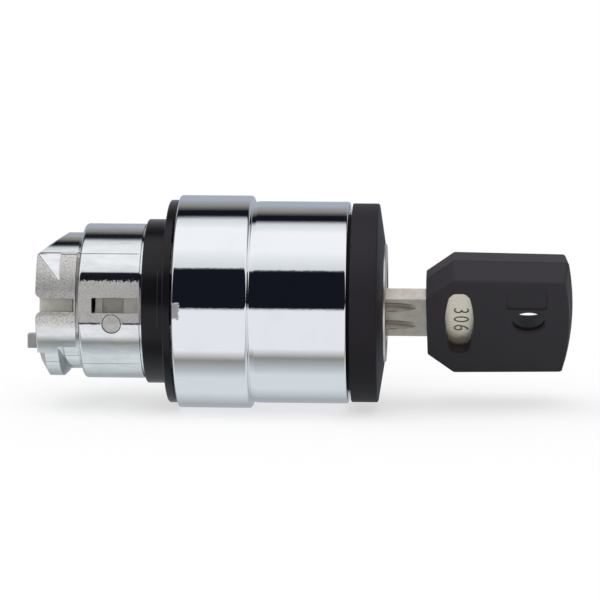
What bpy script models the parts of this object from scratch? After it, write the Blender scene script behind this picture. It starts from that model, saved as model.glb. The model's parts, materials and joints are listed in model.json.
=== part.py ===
"""Key selector switch head for a 22 mm panel hole, with its key.

Metres, +Z up. +X runs along the head's axis towards the key, and X = 0 is the
panel's front face, where the gasket seats. The key stands in its rest position.
"""

import math

import bmesh
import bpy
from mathutils import Vector

MM = 0.001

QUARTER_TURN = 90.0
HALF_TURN = 180.0
FULL_TURN = 360.0

# Clearances
GAP = 0.3 * MM
RUN_GAP = 0.2 * MM
PRESS_GAP = 0.08 * MM

# Round pieces, as numbers of sides
SIDES_LARGE = 56
SIDES_MEDIUM = 36
SIDES_SMALL = 16
SIDES_BALL = 12
SIDES_SEAL = 8
SIDES_COIL = 7
SIDES_WIRE = 4
CHORDS_SMALL = 6
CHORDS_LARGE = 8

# Key blade, in the plug's own frame: Z is the blade's height, Y its thickness
KEY_ANGLE = 45.0
KEY_DROP = -2.05 * MM
BLADE_HEIGHT = 8.2 * MM
BLADE_THICK = 1.87 * MM
BLADE_TIP_X = 6.5 * MM
BLADE_TIP_RUN = 2.2 * MM
BLADE_TIP_HALF = 0.4 * MM
BLADE_SHOWN = 5.4 * MM
BLADE_GROOVE_DEPTH = 0.5 * MM
BLADE_GROOVE_WIDTH = 1.5 * MM
BLADE_GROOVE_RUNOUT = 1.3 * MM
BLADE_GROOVE_STOP = 1.35 * MM
BLADE_GROOVE_HEIGHTS = (2.3 * MM, -1.6 * MM)
CUT_DEPTHS = (1.2 * MM, 0.6 * MM, 1.5 * MM, 0.9 * MM, 0.4 * MM)
CUT_FLOOR_HALF = 0.35 * MM
CUT_SLOPE = 0.9
CUT_RIDGE_HALF = 0.05 * MM

# Lock, outwards from the blade
PLUG_WALL = 1.05 * MM
PLUG_EDGE = 0.25 * MM
LOCK_WALL = 0.7 * MM
LOCK_EDGE = 0.2 * MM
LOCK_PROUD = 0.25 * MM
SHOULDER_THICK = 1.2 * MM
NUT_THICK = 2.0 * MM
NUT_SLOT = 1.0 * MM
NUT_TURN = 4.5
TAIL_R = 4.3 * MM
TAIL_REAR_X = -3.0 * MM
TANG_WIDTH = 6.0 * MM
TANG_THICK = 3.0 * MM
TANG_LENGTH = 5.0 * MM
TANG_ROOM = 0.25 * MM
CLIP_THICK = 0.5 * MM
CLIP_REACH = 1.3 * MM
CLIP_GROOVE_DEPTH = 0.8 * MM
CLIP_MOUTH = 2.2 * MM

# Wafers
WAFER_COUNT = 5
WAFER_FIRST_RUN = 4.0 * MM
WAFER_PITCH = 3.2 * MM
WAFER_THICK = 1.0 * MM
WAFER_WIDTH = 8.4 * MM
WAFER_LIFT = 0.7 * MM
LUG_LOW = -2.1 * MM
LUG_THICK = 0.9 * MM
LUG_TRAVEL = 3.4 * MM
LUG_LENGTH = 1.6 * MM
WAFER_SPRING_R = 0.42 * MM
WAFER_WIRE_R = 0.12 * MM
WAFER_SPRING_TURNS = 3.5

# Barrel casting, outwards from the lock
NECK_WALL = 0.9 * MM
BARREL_WALL = 2.15 * MM
TUBE_WALL = 1.5 * MM
SEAT_STEP = 0.45 * MM
BARREL_REAR_X = -11.57 * MM
BARREL_EDGE = 0.35 * MM
WEB_REAR_X = -1.5 * MM
WEB_FRONT_X = 0.2 * MM
FLANGE_THICK = 1.7 * MM
TUBE_FRONT_X = 18.1 * MM
NECK_LENGTH = 5.73 * MM
CLAW_RISE = 1.0 * MM
CLAW_GROOVE = 0.35 * MM
CLAW_GROOVE_SINK = 0.12 * MM
CLAW_HALF_ANGLE = 45.0
BAYONET_START_ANGLE = 31.0
FLANK_SETBACK = 2.23 * MM
FLANK_CORNER = 0.7 * MM
LEAD_IN_SETBACK = 2.5 * MM
LEAD_IN_ANGLE = 37.0
LEAD_IN_SLOPE = 1.7
BEVEL_RUN = 3.4 * MM
BEVEL_DROP = 2.25 * MM
FACET_SETBACK = 0.3 * MM
FACET_LOW_ANGLE = 21.0
FACET_DEPTH_LEFT = 0.25 * MM
FLAT_ANGLE = 4.5
WINDOW_ANGLE = 2.9
FLAT_WIDTH = 5.6 * MM
NOTCH_WIDTH = 1.8 * MM
NOTCH_SETBACK = 0.56 * MM
NOTCH_MOUTH = 0.7 * MM
WINDOW_REAR_X = -9.75 * MM
WINDOW_FRONT_X = -3.5 * MM
WINDOW_HEIGHT = 2.05 * MM
PIN_X = -7.05 * MM
PIN_R = 1.25 * MM
PIN_ANGLE = -11.0
PIN_SUNK = 0.02 * MM

# Panel gasket and bezel, outwards from the barrel
COLLAR_WALL = 0.65 * MM
COLLAR_LENGTH = 3.0 * MM
GASKET_INSET = 0.65 * MM
GASKET_LIP = 0.25 * MM
BEZEL_ROOM = 1.75 * MM
BEZEL_WALL = 1.45 * MM
BEZEL_STEP_HEIGHT = 0.75 * MM
BEZEL_REAR_X = 1.4 * MM
BEZEL_BAND = 9.9 * MM
BEZEL_NOSE = 13.2 * MM
BEZEL_WEB = 2.0 * MM
BEZEL_EDGE = 0.3 * MM

# Front cap and its seal
CAP_INSET = 0.2 * MM
CAP_SETOFF = 0.4 * MM
CAP_BAND = 3.6 * MM
CAP_CONE = 0.8 * MM
CAP_CORNER = 0.3 * MM
CAP_SKIRT = 2.6 * MM
CAP_LIP = 1.9 * MM
CAP_LIP_REAR = 1.7 * MM
SEAL_R = 0.8 * MM

# Cam drum, detent and plungers
DRUM_FRONT_X = -1.8 * MM
DRUM_GROOVE_DEPTH = 1.0 * MM
DRUM_STEPS = 40
DRUM_RIB_HALF = 1.9 * MM
DRUM_RIB_SINK = 0.5 * MM
DRUM_RIB_SETBACK = 1.2 * MM
DRUM_FLOOR = 0.5 * MM
RAMP_LOW_X = -9.4 * MM
RAMP_LEDGE = 0.3 * MM
RAMP_LEDGE_X = 0.9 * MM
RAMP_START_ANGLE = 135.0
TURN_RANGE = 90.0
STROKE = 3.0 * MM
PUSHER_EDGE = 1.7 * MM
PUSHER_SHOWN = 2.35 * MM
PUSHER_TAB_HEIGHT = 1.85 * MM
PUSHER_TAB_WIDTH = 2.2 * MM
PUSHER_TAB_EDGE = 0.25 * MM
PUSHER_FLANGE_R = 1.85 * MM
PUSHER_FLANGE_THICK = 0.7 * MM
PUSHER_NOSE_R = 0.7 * MM
GUIDE_SETBACK = 0.2 * MM
GUIDE_THICK = 1.75 * MM
GUIDE_LEDGE = 1.1 * MM
GUIDE_SHOULDER = 0.4 * MM
GUIDE_SKIRT = 0.4 * MM
SPRING_WIRE_R = 0.15 * MM
SPRING_R = 1.7 * MM
SPRING_TURNS = 2
SPRING_REST = 0.1 * MM
BALL_R = 0.8 * MM
BALL_X = -4.2 * MM
BALL_PROUD = 0.45 * MM
BALL_POCKET_FLOOR = 1.3 * MM
DETENT_WIRE_R = 0.1 * MM
DETENT_SPRING_INSET = 0.3 * MM
DETENT_SPRING_TURNS = 3.0
DETENT_MARGIN_ANGLE = 8.0
DETENT_SEAT_SHARE = 0.8

# Key bow
SLOT_SETBACK = 4.5 * MM
SLOT_RISE = 0.93 * MM
SLOT_WIDTH = 3.9 * MM
SLOT_LENGTH = 13.1 * MM
SLOT_BULGE = 0.75 * MM
SLOT_CORNER = 0.9 * MM
SLOT_END_HALF = 0.7 * MM
PLATE_MARGIN = 1.9 * MM
PLATE_END = 1.65 * MM
PLATE_REAR_MARGIN = 0.15 * MM
BOW_LENGTH = 19.88 * MM
BOW_SIDE = 3.28 * MM
BOW_COVER = 1.715 * MM
BOW_DRAFT = 1.35 * MM
BOW_REAR_DRAFT_SHARE = 0.25
BOW_FRONT_DRAFT_SHARE = 0.35
BOW_CORNER_X = 3.5 * MM
BOW_CORNER_WIDTH = 3.5 * MM
BOW_BULGE = 0.85 * MM
BOW_TAPER = 0.35 * MM
BOW_ROUND = 0.4 * MM
BOW_ROUND_DROP = 0.25 * MM
HOLE_SETBACK = 6.0 * MM
HOLE_R = 2.05 * MM
HOLE_EDGE = 0.35 * MM
HOLE_FAR_R = 4.4 * MM
HOLE_SIDES = 24

# Radii worked out from the key blade outwards
PLUG_R = BLADE_HEIGHT / 2 - KEY_DROP + PLUG_WALL
LOCK_BORE_R = PLUG_R + RUN_GAP
LOCK_R = LOCK_BORE_R + LOCK_WALL
BORE_R = LOCK_R + GAP
NECK_R = BORE_R + NECK_WALL
CLAW_R = NECK_R + CLAW_RISE
BARREL_R = BORE_R + BARREL_WALL
TUBE_R = BORE_R + TUBE_WALL
SHOULDER_R = TUBE_R
SEAT_R = BARREL_R - SEAT_STEP
COLLAR_R = BARREL_R + COLLAR_WALL
BEZEL_BORE_R = BARREL_R + BEZEL_ROOM
BEZEL_NOSE_R = BEZEL_BORE_R + BEZEL_WALL
BEZEL_R = BEZEL_NOSE_R + BEZEL_STEP_HEIGHT
GASKET_R = BEZEL_R - GASKET_INSET
CAP_R = BEZEL_NOSE_R - CAP_INSET
CAP_BORE_R = LOCK_R + GAP
CAP_HOLLOW_R = CAP_BORE_R + CAP_LIP
DRUM_R = BORE_R - GAP
DRUM_GROOVE_R = DRUM_R - DRUM_GROOVE_DEPTH
DRUM_BORE_R = math.hypot(TANG_WIDTH / 2, TANG_THICK / 2) + TANG_ROOM
RAMP_INNER_R = DRUM_BORE_R + RAMP_LEDGE
CLIP_R = TAIL_R + CLIP_REACH
CLIP_NECK_R = TAIL_R - CLIP_GROOVE_DEPTH
GUIDE_R = BORE_R - GUIDE_LEDGE
LIP_R = GUIDE_R + GAP
PUSHER_RADIUS = GUIDE_R - PUSHER_EDGE

# Places along the axis worked out from each other
NECK_REAR_X = BARREL_REAR_X - NECK_LENGTH
FLANK_X = BARREL_REAR_X - FLANK_SETBACK
NOTCH_END_X = BARREL_REAR_X - NOTCH_SETBACK
GUIDE_REAR_X = NECK_REAR_X + GUIDE_SETBACK
GUIDE_FRONT_X = GUIDE_REAR_X + GUIDE_THICK
GUIDE_SEAT_X = GUIDE_FRONT_X - GUIDE_SHOULDER
LIP_X = GUIDE_SEAT_X - GAP
PUSHER_TAB_X = NECK_REAR_X - PUSHER_SHOWN
RAMP_HIGH_X = RAMP_LOW_X - STROKE
NOSE_X = RAMP_HIGH_X - GAP
GROOVE_FRONT = PIN_X + PIN_R + RUN_GAP
GROOVE_REAR = PIN_X - PIN_R - RUN_GAP
CLIP_FRONT_X = WEB_REAR_X - GAP
CLIP_REAR_X = CLIP_FRONT_X - RUN_GAP - CLIP_THICK
TANG_REAR_X = TAIL_REAR_X - TANG_LENGTH
LOCK_REAR_X = WEB_FRONT_X + GAP
FLANGE_X = BEZEL_REAR_X + BEZEL_WEB + GAP
SHOULDER_X = TUBE_FRONT_X + GAP
NUT_X = SHOULDER_X + SHOULDER_THICK + GAP
BEZEL_STEP_X = BEZEL_REAR_X + BEZEL_BAND
BEZEL_FRONT_X = BEZEL_STEP_X + BEZEL_NOSE
CAP_REAR_X = BEZEL_FRONT_X + CAP_SETOFF
CAP_RIM_X = CAP_REAR_X + CAP_BAND
CAP_FACE_X = CAP_RIM_X + CAP_CONE
CAP_WEB_X = CAP_REAR_X + CAP_LIP_REAR
SEAL_X = CAP_WEB_X - GAP - SEAL_R
LOCK_FACE_X = CAP_FACE_X + LOCK_PROUD
WAFER_FIRST_X = BLADE_TIP_X + WAFER_FIRST_RUN
BOW_REAR_X = LOCK_FACE_X + BLADE_SHOWN
BOW_FRONT_X = BOW_REAR_X + BOW_LENGTH
BLADE_GROOVE_END_X = BOW_REAR_X - BLADE_GROOVE_STOP
SLOT_X = BOW_REAR_X + SLOT_SETBACK
PLATE_REAR_X = SLOT_X - SLOT_WIDTH / 2 - PLATE_REAR_MARGIN
PLATE_FRONT_X = SLOT_X + SLOT_WIDTH / 2 + PLATE_MARGIN
HOLE_X = BOW_FRONT_X - HOLE_SETBACK

# Sizes of the key and its passages
KEYWAY_HALF = BLADE_THICK / 2 + GAP
BLADE_TOP = KEY_DROP + BLADE_HEIGHT / 2
BLADE_BOTTOM = KEY_DROP - BLADE_HEIGHT / 2
PLATE_HEIGHT = SLOT_LENGTH + 2 * PLATE_END
BOW_WIDTH = PLATE_HEIGHT + 2 * BOW_SIDE
BOW_THICK = BLADE_THICK + 2 * BOW_COVER
LUG_END = WAFER_WIDTH / 2 + LUG_LENGTH
OVER = 1.0 * MM


def clear_scene():
    for old in list(bpy.data.objects):
        bpy.data.objects.remove(old, do_unlink=True)


def material(name, colour, roughness, metallic=0.0):
    made = bpy.data.materials.new(name)
    made.use_nodes = True
    shader = made.node_tree.nodes["Principled BSDF"]
    shader.inputs["Base Color"].default_value = (*colour, 1.0)
    shader.inputs["Roughness"].default_value = roughness
    shader.inputs["Metallic"].default_value = metallic
    return made


def add(name, bm, finish, parent=None, smooth_angle=35.0):
    """Makes an object of a bmesh, with its faces turned outwards."""
    bmesh.ops.remove_doubles(bm, verts=bm.verts, dist=1e-7)
    bmesh.ops.recalc_face_normals(bm, faces=bm.faces)
    mesh = bpy.data.meshes.new(name)
    bm.to_mesh(mesh)
    bm.free()
    obj = bpy.data.objects.new(name, mesh)
    bpy.context.scene.collection.objects.link(obj)
    if finish:
        mesh.materials.append(finish)
    mesh.shade_smooth()
    mesh.set_sharp_from_angle(angle=math.radians(smooth_angle))
    obj.parent = parent
    return obj


def polygon(bm, points):
    """A face through (x, y, z) points."""
    return bm.faces.new([bm.verts.new(point) for point in points])


def ring_mesh(profile, sides, start=0.0, sweep=360.0):
    """A closed (x, r) profile turned about X, from an angle measured from +Y to +Z."""
    bm = bmesh.new()
    whole = sweep >= 360.0
    rings = []
    for step in range(sides if whole else sides + 1):
        turn = math.radians(start + sweep * step / sides)
        rings.append([bm.verts.new((x, r * math.cos(turn), r * math.sin(turn))) for x, r in profile])
    for step in range(sides):
        here = rings[step]
        there = rings[(step + 1) % len(rings)]
        for index in range(len(profile)):
            after = (index + 1) % len(profile)
            if profile[index][1] == 0.0 and profile[after][1] == 0.0:
                continue
            bm.faces.new((here[index], here[after], there[after], there[index]))
    if not whole:
        bm.faces.new(rings[0])
        bm.faces.new(rings[-1])
    bmesh.ops.remove_doubles(bm, verts=bm.verts, dist=1e-7)
    bmesh.ops.dissolve_degenerate(bm, edges=bm.edges, dist=1e-8)
    return bm


def prism_mesh(outline, low, high, axis="Y"):
    """An outline extruded from low to high along an axis; the outline gives the other two."""
    order = {"X": lambda a, b, c: (c, a, b), "Y": lambda a, b, c: (a, c, b), "Z": lambda a, b, c: (a, b, c)}[axis]
    bm = bmesh.new()
    face = polygon(bm, [order(a, b, low) for a, b in outline])
    made = bmesh.ops.extrude_face_region(bm, geom=[face])
    moved = [item for item in made["geom"] if isinstance(item, bmesh.types.BMVert)]
    bmesh.ops.translate(bm, verts=moved, vec=order(0.0, 0.0, high - low))
    return bm


def block_mesh(low, high):
    """A box between two corners."""
    outline = [(low[0], low[1]), (high[0], low[1]), (high[0], high[1]), (low[0], high[1])]
    return prism_mesh(outline, low[2], high[2], "Z")


def cutter(name, bm, parent=None):
    """A hidden body that only shapes another."""
    obj = add("cutter_" + name, bm, None, parent)
    obj.hide_render = True
    obj.display_type = "WIRE"
    return obj


def cut(target, tool, operation="DIFFERENCE"):
    step = target.modifiers.new(tool.name, "BOOLEAN")
    step.operation = operation
    step.object = tool
    step.solver = "EXACT"
    return step


def tilted(name, angle, parent=None):
    """An empty on the axis, turned about X by an angle in degrees."""
    empty = bpy.data.objects.new(name, None)
    bpy.context.scene.collection.objects.link(empty)
    empty.rotation_euler = (math.radians(angle), 0.0, 0.0)
    empty.parent = parent
    return empty


def arc(centre, radius, start, end, steps):
    """Points on an arc, angles in degrees."""
    turns = [math.radians(start + (end - start) * step / steps) for step in range(steps + 1)]
    return [(centre[0] + radius * math.cos(t), centre[1] + radius * math.sin(t)) for t in turns]


def coil_mesh(centre, axis, radius, wire, length, turns, steps, sides):
    """A coil spring along an axis, with closed ends, built section by section."""
    bm = bmesh.new()
    sections = []
    total = int(turns * steps)
    for step in range(total + 1):
        turn = math.tau * step / steps
        along = wire + (length - 2 * wire) * step / total
        ring = []
        for side in range(sides):
            lean = math.tau * (side + 0.5) / sides
            out = radius + wire * math.cos(lean)
            rise = along + wire * math.sin(lean)
            a = out * math.cos(turn)
            b = out * math.sin(turn)
            local = {"X": (rise, a, b), "Y": (a, rise, b), "Z": (a, b, rise)}[axis]
            ring.append(bm.verts.new(Vector(local) + Vector(centre)))
        sections.append(ring)
    for here, there in zip(sections, sections[1:]):
        for side in range(sides):
            after = (side + 1) % sides
            bm.faces.new((here[side], here[after], there[after], there[side]))
    bm.faces.new(sections[0])
    bm.faces.new(sections[-1][::-1])
    return bm


def build_bezel(chrome):
    """Two-step turned and plated shell with the web that the casting clamps."""
    edge = BEZEL_EDGE
    web_x = BEZEL_REAR_X + BEZEL_WEB
    profile = [
        (BEZEL_REAR_X, SEAT_R + GAP),
        (BEZEL_REAR_X, BEZEL_R - edge),
        (BEZEL_REAR_X + edge * 0.3, BEZEL_R - edge * 0.3),
        (BEZEL_REAR_X + edge, BEZEL_R),
        (BEZEL_STEP_X - edge * 0.6, BEZEL_R),
        (BEZEL_STEP_X, BEZEL_R - edge),
        (BEZEL_STEP_X, BEZEL_NOSE_R - edge * 0.6),
        (BEZEL_STEP_X + edge, BEZEL_NOSE_R - edge * 0.6),
        (BEZEL_STEP_X + edge * 1.6, BEZEL_NOSE_R),
        (BEZEL_FRONT_X - edge * 1.4, BEZEL_NOSE_R),
        (BEZEL_FRONT_X, BEZEL_NOSE_R - edge),
        (BEZEL_FRONT_X, BEZEL_BORE_R),
        (web_x, BEZEL_BORE_R),
        (web_x, SEAT_R + GAP),
    ]
    return add("bezel_shell", ring_mesh(profile, SIDES_LARGE), chrome)


def build_gasket(rubber):
    """Rubber flange behind the bezel, with the collar that centres the head in the hole."""
    front = BEZEL_REAR_X - GAP
    lip = GASKET_LIP
    inner = SEAT_R + GAP
    profile = [
        (-COLLAR_LENGTH, inner),
        (-COLLAR_LENGTH, COLLAR_R - lip),
        (-COLLAR_LENGTH + lip, COLLAR_R),
        (0.0, COLLAR_R),
        (0.0, GASKET_R - lip),
        (lip, GASKET_R),
        (front - lip, GASKET_R),
        (front, GASKET_R - lip),
        (front, inner),
    ]
    return add("panel_gasket", ring_mesh(profile, SIDES_LARGE), rubber)


def build_cap(black):
    """Moulded ring with a shallow cone face and a skirt inside the bezel."""
    corner = CAP_CORNER
    skirt_r = BEZEL_BORE_R - GAP
    skirt_x = CAP_REAR_X - CAP_SKIRT
    profile = [
        (skirt_x, CAP_HOLLOW_R),
        (skirt_x, skirt_r),
        (CAP_REAR_X, skirt_r),
        (CAP_REAR_X, CAP_R),
        (CAP_RIM_X - corner, CAP_R),
        (CAP_RIM_X - corner * 0.3, CAP_R - corner * 0.3),
        (CAP_RIM_X, CAP_R - corner),
        (CAP_FACE_X, CAP_BORE_R),
        (CAP_WEB_X, CAP_BORE_R),
        (CAP_WEB_X, CAP_HOLLOW_R),
    ]
    return add("front_cap", ring_mesh(profile, SIDES_LARGE), black)


def build_seal(rubber):
    centre_r = CAP_BORE_R + SEAL_R
    profile = [(SEAL_X + SEAL_R * math.cos(t), centre_r + SEAL_R * math.sin(t))
               for t in [math.tau * step / SIDES_SEAL for step in range(SIDES_SEAL)]]
    return add("cap_o_ring", ring_mesh(profile, SIDES_MEDIUM), rubber)


def barrel_profile():
    """The casting's whole outline before its claws, notch and window are cut."""
    groove_x = BARREL_REAR_X - CLAW_GROOVE
    seat_x = -COLLAR_LENGTH - GAP
    flange_end = FLANGE_X + FLANGE_THICK
    flange_r = BEZEL_BORE_R - GAP
    edge = BARREL_EDGE
    return [
        (NECK_REAR_X, LIP_R),
        (NECK_REAR_X, CLAW_R - edge * 0.5),
        (NECK_REAR_X + edge * 0.5, CLAW_R),
        (groove_x, CLAW_R),
        (groove_x, NECK_R - CLAW_GROOVE_SINK),
        (BARREL_REAR_X, NECK_R - CLAW_GROOVE_SINK),
        (BARREL_REAR_X, BARREL_R - edge * 1.6),
        (BARREL_REAR_X + edge * 0.5, BARREL_R - edge * 0.5),
        (BARREL_REAR_X + edge * 1.6, BARREL_R),
        (seat_x, BARREL_R),
        (seat_x, SEAT_R),
        (FLANGE_X, SEAT_R),
        (FLANGE_X, flange_r),
        (flange_end, flange_r),
        (flange_end, TUBE_R),
        (TUBE_FRONT_X, TUBE_R),
        (TUBE_FRONT_X, BORE_R),
        (WEB_FRONT_X, BORE_R),
        (WEB_FRONT_X, TAIL_R + GAP),
        (WEB_REAR_X, TAIL_R + GAP),
        (WEB_REAR_X, BORE_R),
        (LIP_X, BORE_R),
        (LIP_X, LIP_R),
    ]


def sector(name, profile, start, end):
    """A cutter that turns a profile only part of the way round."""
    steps = max(4, round(abs(end - start) / 7))
    return cutter(name, ring_mesh(profile, steps, start, end - start))


def build_barrel(zinc):
    """Zinc casting: claws and bayonet recess at the rear, flat, window, notch and pin hole."""
    casting = add("barrel_casting", ring_mesh(barrel_profile(), SIDES_LARGE), zinc)
    outside = BARREL_R + OVER
    behind = NECK_REAR_X - OVER

    in_groove = BARREL_REAR_X - CLAW_GROOVE / 2
    neck_band = [(behind, NECK_R), (in_groove, NECK_R), (in_groove, outside), (behind, outside)]
    cut(casting, sector("neck_top", neck_band, CLAW_HALF_ANGLE, HALF_TURN - CLAW_HALF_ANGLE))

    lift = outside - CLAW_R
    recess = [
        (FLANK_X, NECK_R), (in_groove, NECK_R), (in_groove, outside),
        (FLANK_X - FLANK_CORNER - lift, outside), (FLANK_X, CLAW_R - FLANK_CORNER),
    ]
    cut(casting, sector("bayonet", recess, BAYONET_START_ANGLE - HALF_TURN, -BAYONET_START_ANGLE))

    lead_x = FLANK_X - LEAD_IN_SETBACK
    steep = LEAD_IN_SLOPE
    lead = [(behind, CLAW_R - steep * (lead_x - behind)), (lead_x + lift / steep, outside), (behind, outside)]
    cut(casting, sector("lead_in", lead, LEAD_IN_ANGLE - HALF_TURN, -LEAD_IN_ANGLE))

    reach = 3 * OVER
    bevel = [
        (NECK_REAR_X - reach, NECK_R - BEVEL_DROP * (1 + reach / BEVEL_RUN)),
        (NECK_REAR_X + BEVEL_RUN + reach, NECK_R + BEVEL_DROP * reach / BEVEL_RUN),
        (NECK_REAR_X - reach, NECK_R + reach),
    ]
    cut(casting, cutter("top_bevel", prism_mesh(bevel, -outside, outside, "Y")))

    for side, sign in (("near", 1.0), ("far", -1.0)):
        corner = facet_cutter("claw_facet_" + side, sign)
        cut(casting, corner)

    near = tilted("near_side", HALF_TURN - FLAT_ANGLE)
    window_side = tilted("window_side", HALF_TURN - WINDOW_ANGLE)
    flat_y = math.sqrt(BARREL_R**2 - (FLAT_WIDTH / 2) ** 2)
    flat = block_mesh((behind, flat_y, -FLAT_WIDTH), (-COLLAR_LENGTH, outside, FLAT_WIDTH))
    cut(casting, cutter("flat", flat, near))
    half = NOTCH_WIDTH / 2
    mouth = NOTCH_MOUTH
    notch = [
        (behind, -half - mouth - OVER),
        (NECK_REAR_X, -half - mouth),
        (NECK_REAR_X + mouth, -half),
        (NOTCH_END_X, -half),
        (NOTCH_END_X, half),
        (NECK_REAR_X + mouth, half),
        (NECK_REAR_X, half + mouth),
        (behind, half + mouth + OVER),
    ]
    cut(casting, cutter("notch", plan_prism(notch, BORE_R - OVER, outside), window_side))
    half = WINDOW_HEIGHT / 2
    window = block_mesh((WINDOW_REAR_X, BORE_R - OVER, -half), (WINDOW_FRONT_X, outside, half))
    cut(casting, cutter("window", window, window_side))

    pin_side = tilted("pin_side", HALF_TURN - PIN_ANGLE)
    hole = round_mesh(PIN_R + PRESS_GAP, BORE_R - OVER, outside, PIN_X)
    cut(casting, cutter("pin_hole", hole, pin_side))

    track_r = BORE_R - GAP - BALL_R + BALL_PROUD + GAP
    section = [(BALL_X + (BALL_R + GAP) * math.cos(t), track_r - GAP + (BALL_R + GAP) * math.sin(t))
               for t in [math.tau * step / SIDES_SEAL for step in range(SIDES_SEAL)]]
    margin = TURN_RANGE / 2 + DETENT_MARGIN_ANGLE
    cut(casting, sector("detent_track", section, -margin, margin))
    for label, angle in (("start", -TURN_RANGE / 2), ("end", TURN_RANGE / 2)):
        seat = round_mesh((BALL_R + GAP) * DETENT_SEAT_SHARE, track_r - BALL_R, track_r + BALL_R + 2 * GAP, BALL_X)
        cut(casting, cutter("detent_" + label, seat, tilted("detent_side_" + label, angle)))
    return casting


def plan_prism(outline, low_y, high_y):
    """An (x, z) outline extruded along Y."""
    return prism_mesh(outline, low_y, high_y, "Y")


def round_mesh(radius, low_y, high_y, x, z=0.0, sides=SIDES_SMALL):
    """A round bar along Y."""
    outline = [(x + radius * math.cos(t), z + radius * math.sin(t))
               for t in [math.tau * (step + 0.5) / sides for step in range(sides)]]
    return plan_prism(outline, low_y, high_y)


def on_claw(x, radius, angle, sign):
    """A point on the claw's round, at an angle up from the near side."""
    turn = math.radians(angle)
    return Vector((x, -sign * radius * math.cos(turn), radius * math.sin(turn)))


def facet_cutter(name, sign):
    """A wedge that takes the claw's upper rear corner off on a slant."""
    wall_x = FLANK_X - FACET_SETBACK
    rear = on_claw(NECK_REAR_X, CLAW_R, CLAW_HALF_ANGLE, sign)
    low = on_claw(wall_x, CLAW_R, FACET_LOW_ANGLE, sign)
    deep = on_claw(wall_x, NECK_R + FACET_DEPTH_LEFT, CLAW_HALF_ANGLE, sign)
    rear = rear + (rear - low).normalized() * OVER
    out = Vector((0.0, -sign * 3 * OVER, 3 * OVER))
    beyond = deep + (deep - low).normalized() * OVER * 0.4
    past = low + (low - deep).normalized() * OVER
    corners = [rear, past, beyond]
    bm = bmesh.new()
    inner = [bm.verts.new(point) for point in corners]
    outer = [bm.verts.new(point + out) for point in corners]
    bm.faces.new(inner)
    bm.faces.new(outer)
    for index in range(3):
        after = (index + 1) % 3
        bm.faces.new((inner[index], inner[after], outer[after], outer[index]))
    return cutter(name, bm)


def build_pin(steel):
    """Pressed pin, flush with the barrel, whose inner end runs in the drum's groove."""
    side = tilted("pin_axis", HALF_TURN - PIN_ANGLE)
    flush = math.sqrt(BARREL_R**2 - PIN_R**2) - PIN_SUNK
    return add("retaining_pin", round_mesh(PIN_R, DRUM_GROOVE_R + GAP, flush, PIN_X), steel, side)


def build_stator(nickel):
    """Lock tube whose shoulder the nut presses on the casting's front end."""
    edge = LOCK_EDGE
    profile = [
        (LOCK_REAR_X, LOCK_BORE_R),
        (LOCK_REAR_X, LOCK_R),
        (SHOULDER_X, LOCK_R),
        (SHOULDER_X, SHOULDER_R),
        (SHOULDER_X + SHOULDER_THICK, SHOULDER_R),
        (SHOULDER_X + SHOULDER_THICK, LOCK_R),
        (LOCK_FACE_X - edge, LOCK_R),
        (LOCK_FACE_X, LOCK_R - edge),
        (LOCK_FACE_X, LOCK_BORE_R + edge),
        (LOCK_FACE_X - edge, LOCK_BORE_R),
    ]
    return add("lock_stator", ring_mesh(profile, SIDES_MEDIUM), nickel)


def build_nut(steel):
    """Round nut with four spanner slots in its front face."""
    outer = BEZEL_BORE_R - GAP
    inner = CAP_BORE_R
    profile = [(NUT_X, inner), (NUT_X, outer), (NUT_X + NUT_THICK, outer), (NUT_X + NUT_THICK, inner)]
    nut = add("lock_ring_nut", ring_mesh(profile, SIDES_MEDIUM), steel)
    front = NUT_X + NUT_THICK
    for label, angle in (("a", NUT_TURN), ("b", NUT_TURN + QUARTER_TURN)):
        low = (front - NUT_SLOT, -outer - OVER, -NUT_SLOT)
        high = (front + OVER, outer + OVER, NUT_SLOT)
        bar = block_mesh(low, high)
        cut(nut, cutter("nut_slot_" + label, bar, tilted("nut_side_" + label, angle)))
    return nut


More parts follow.
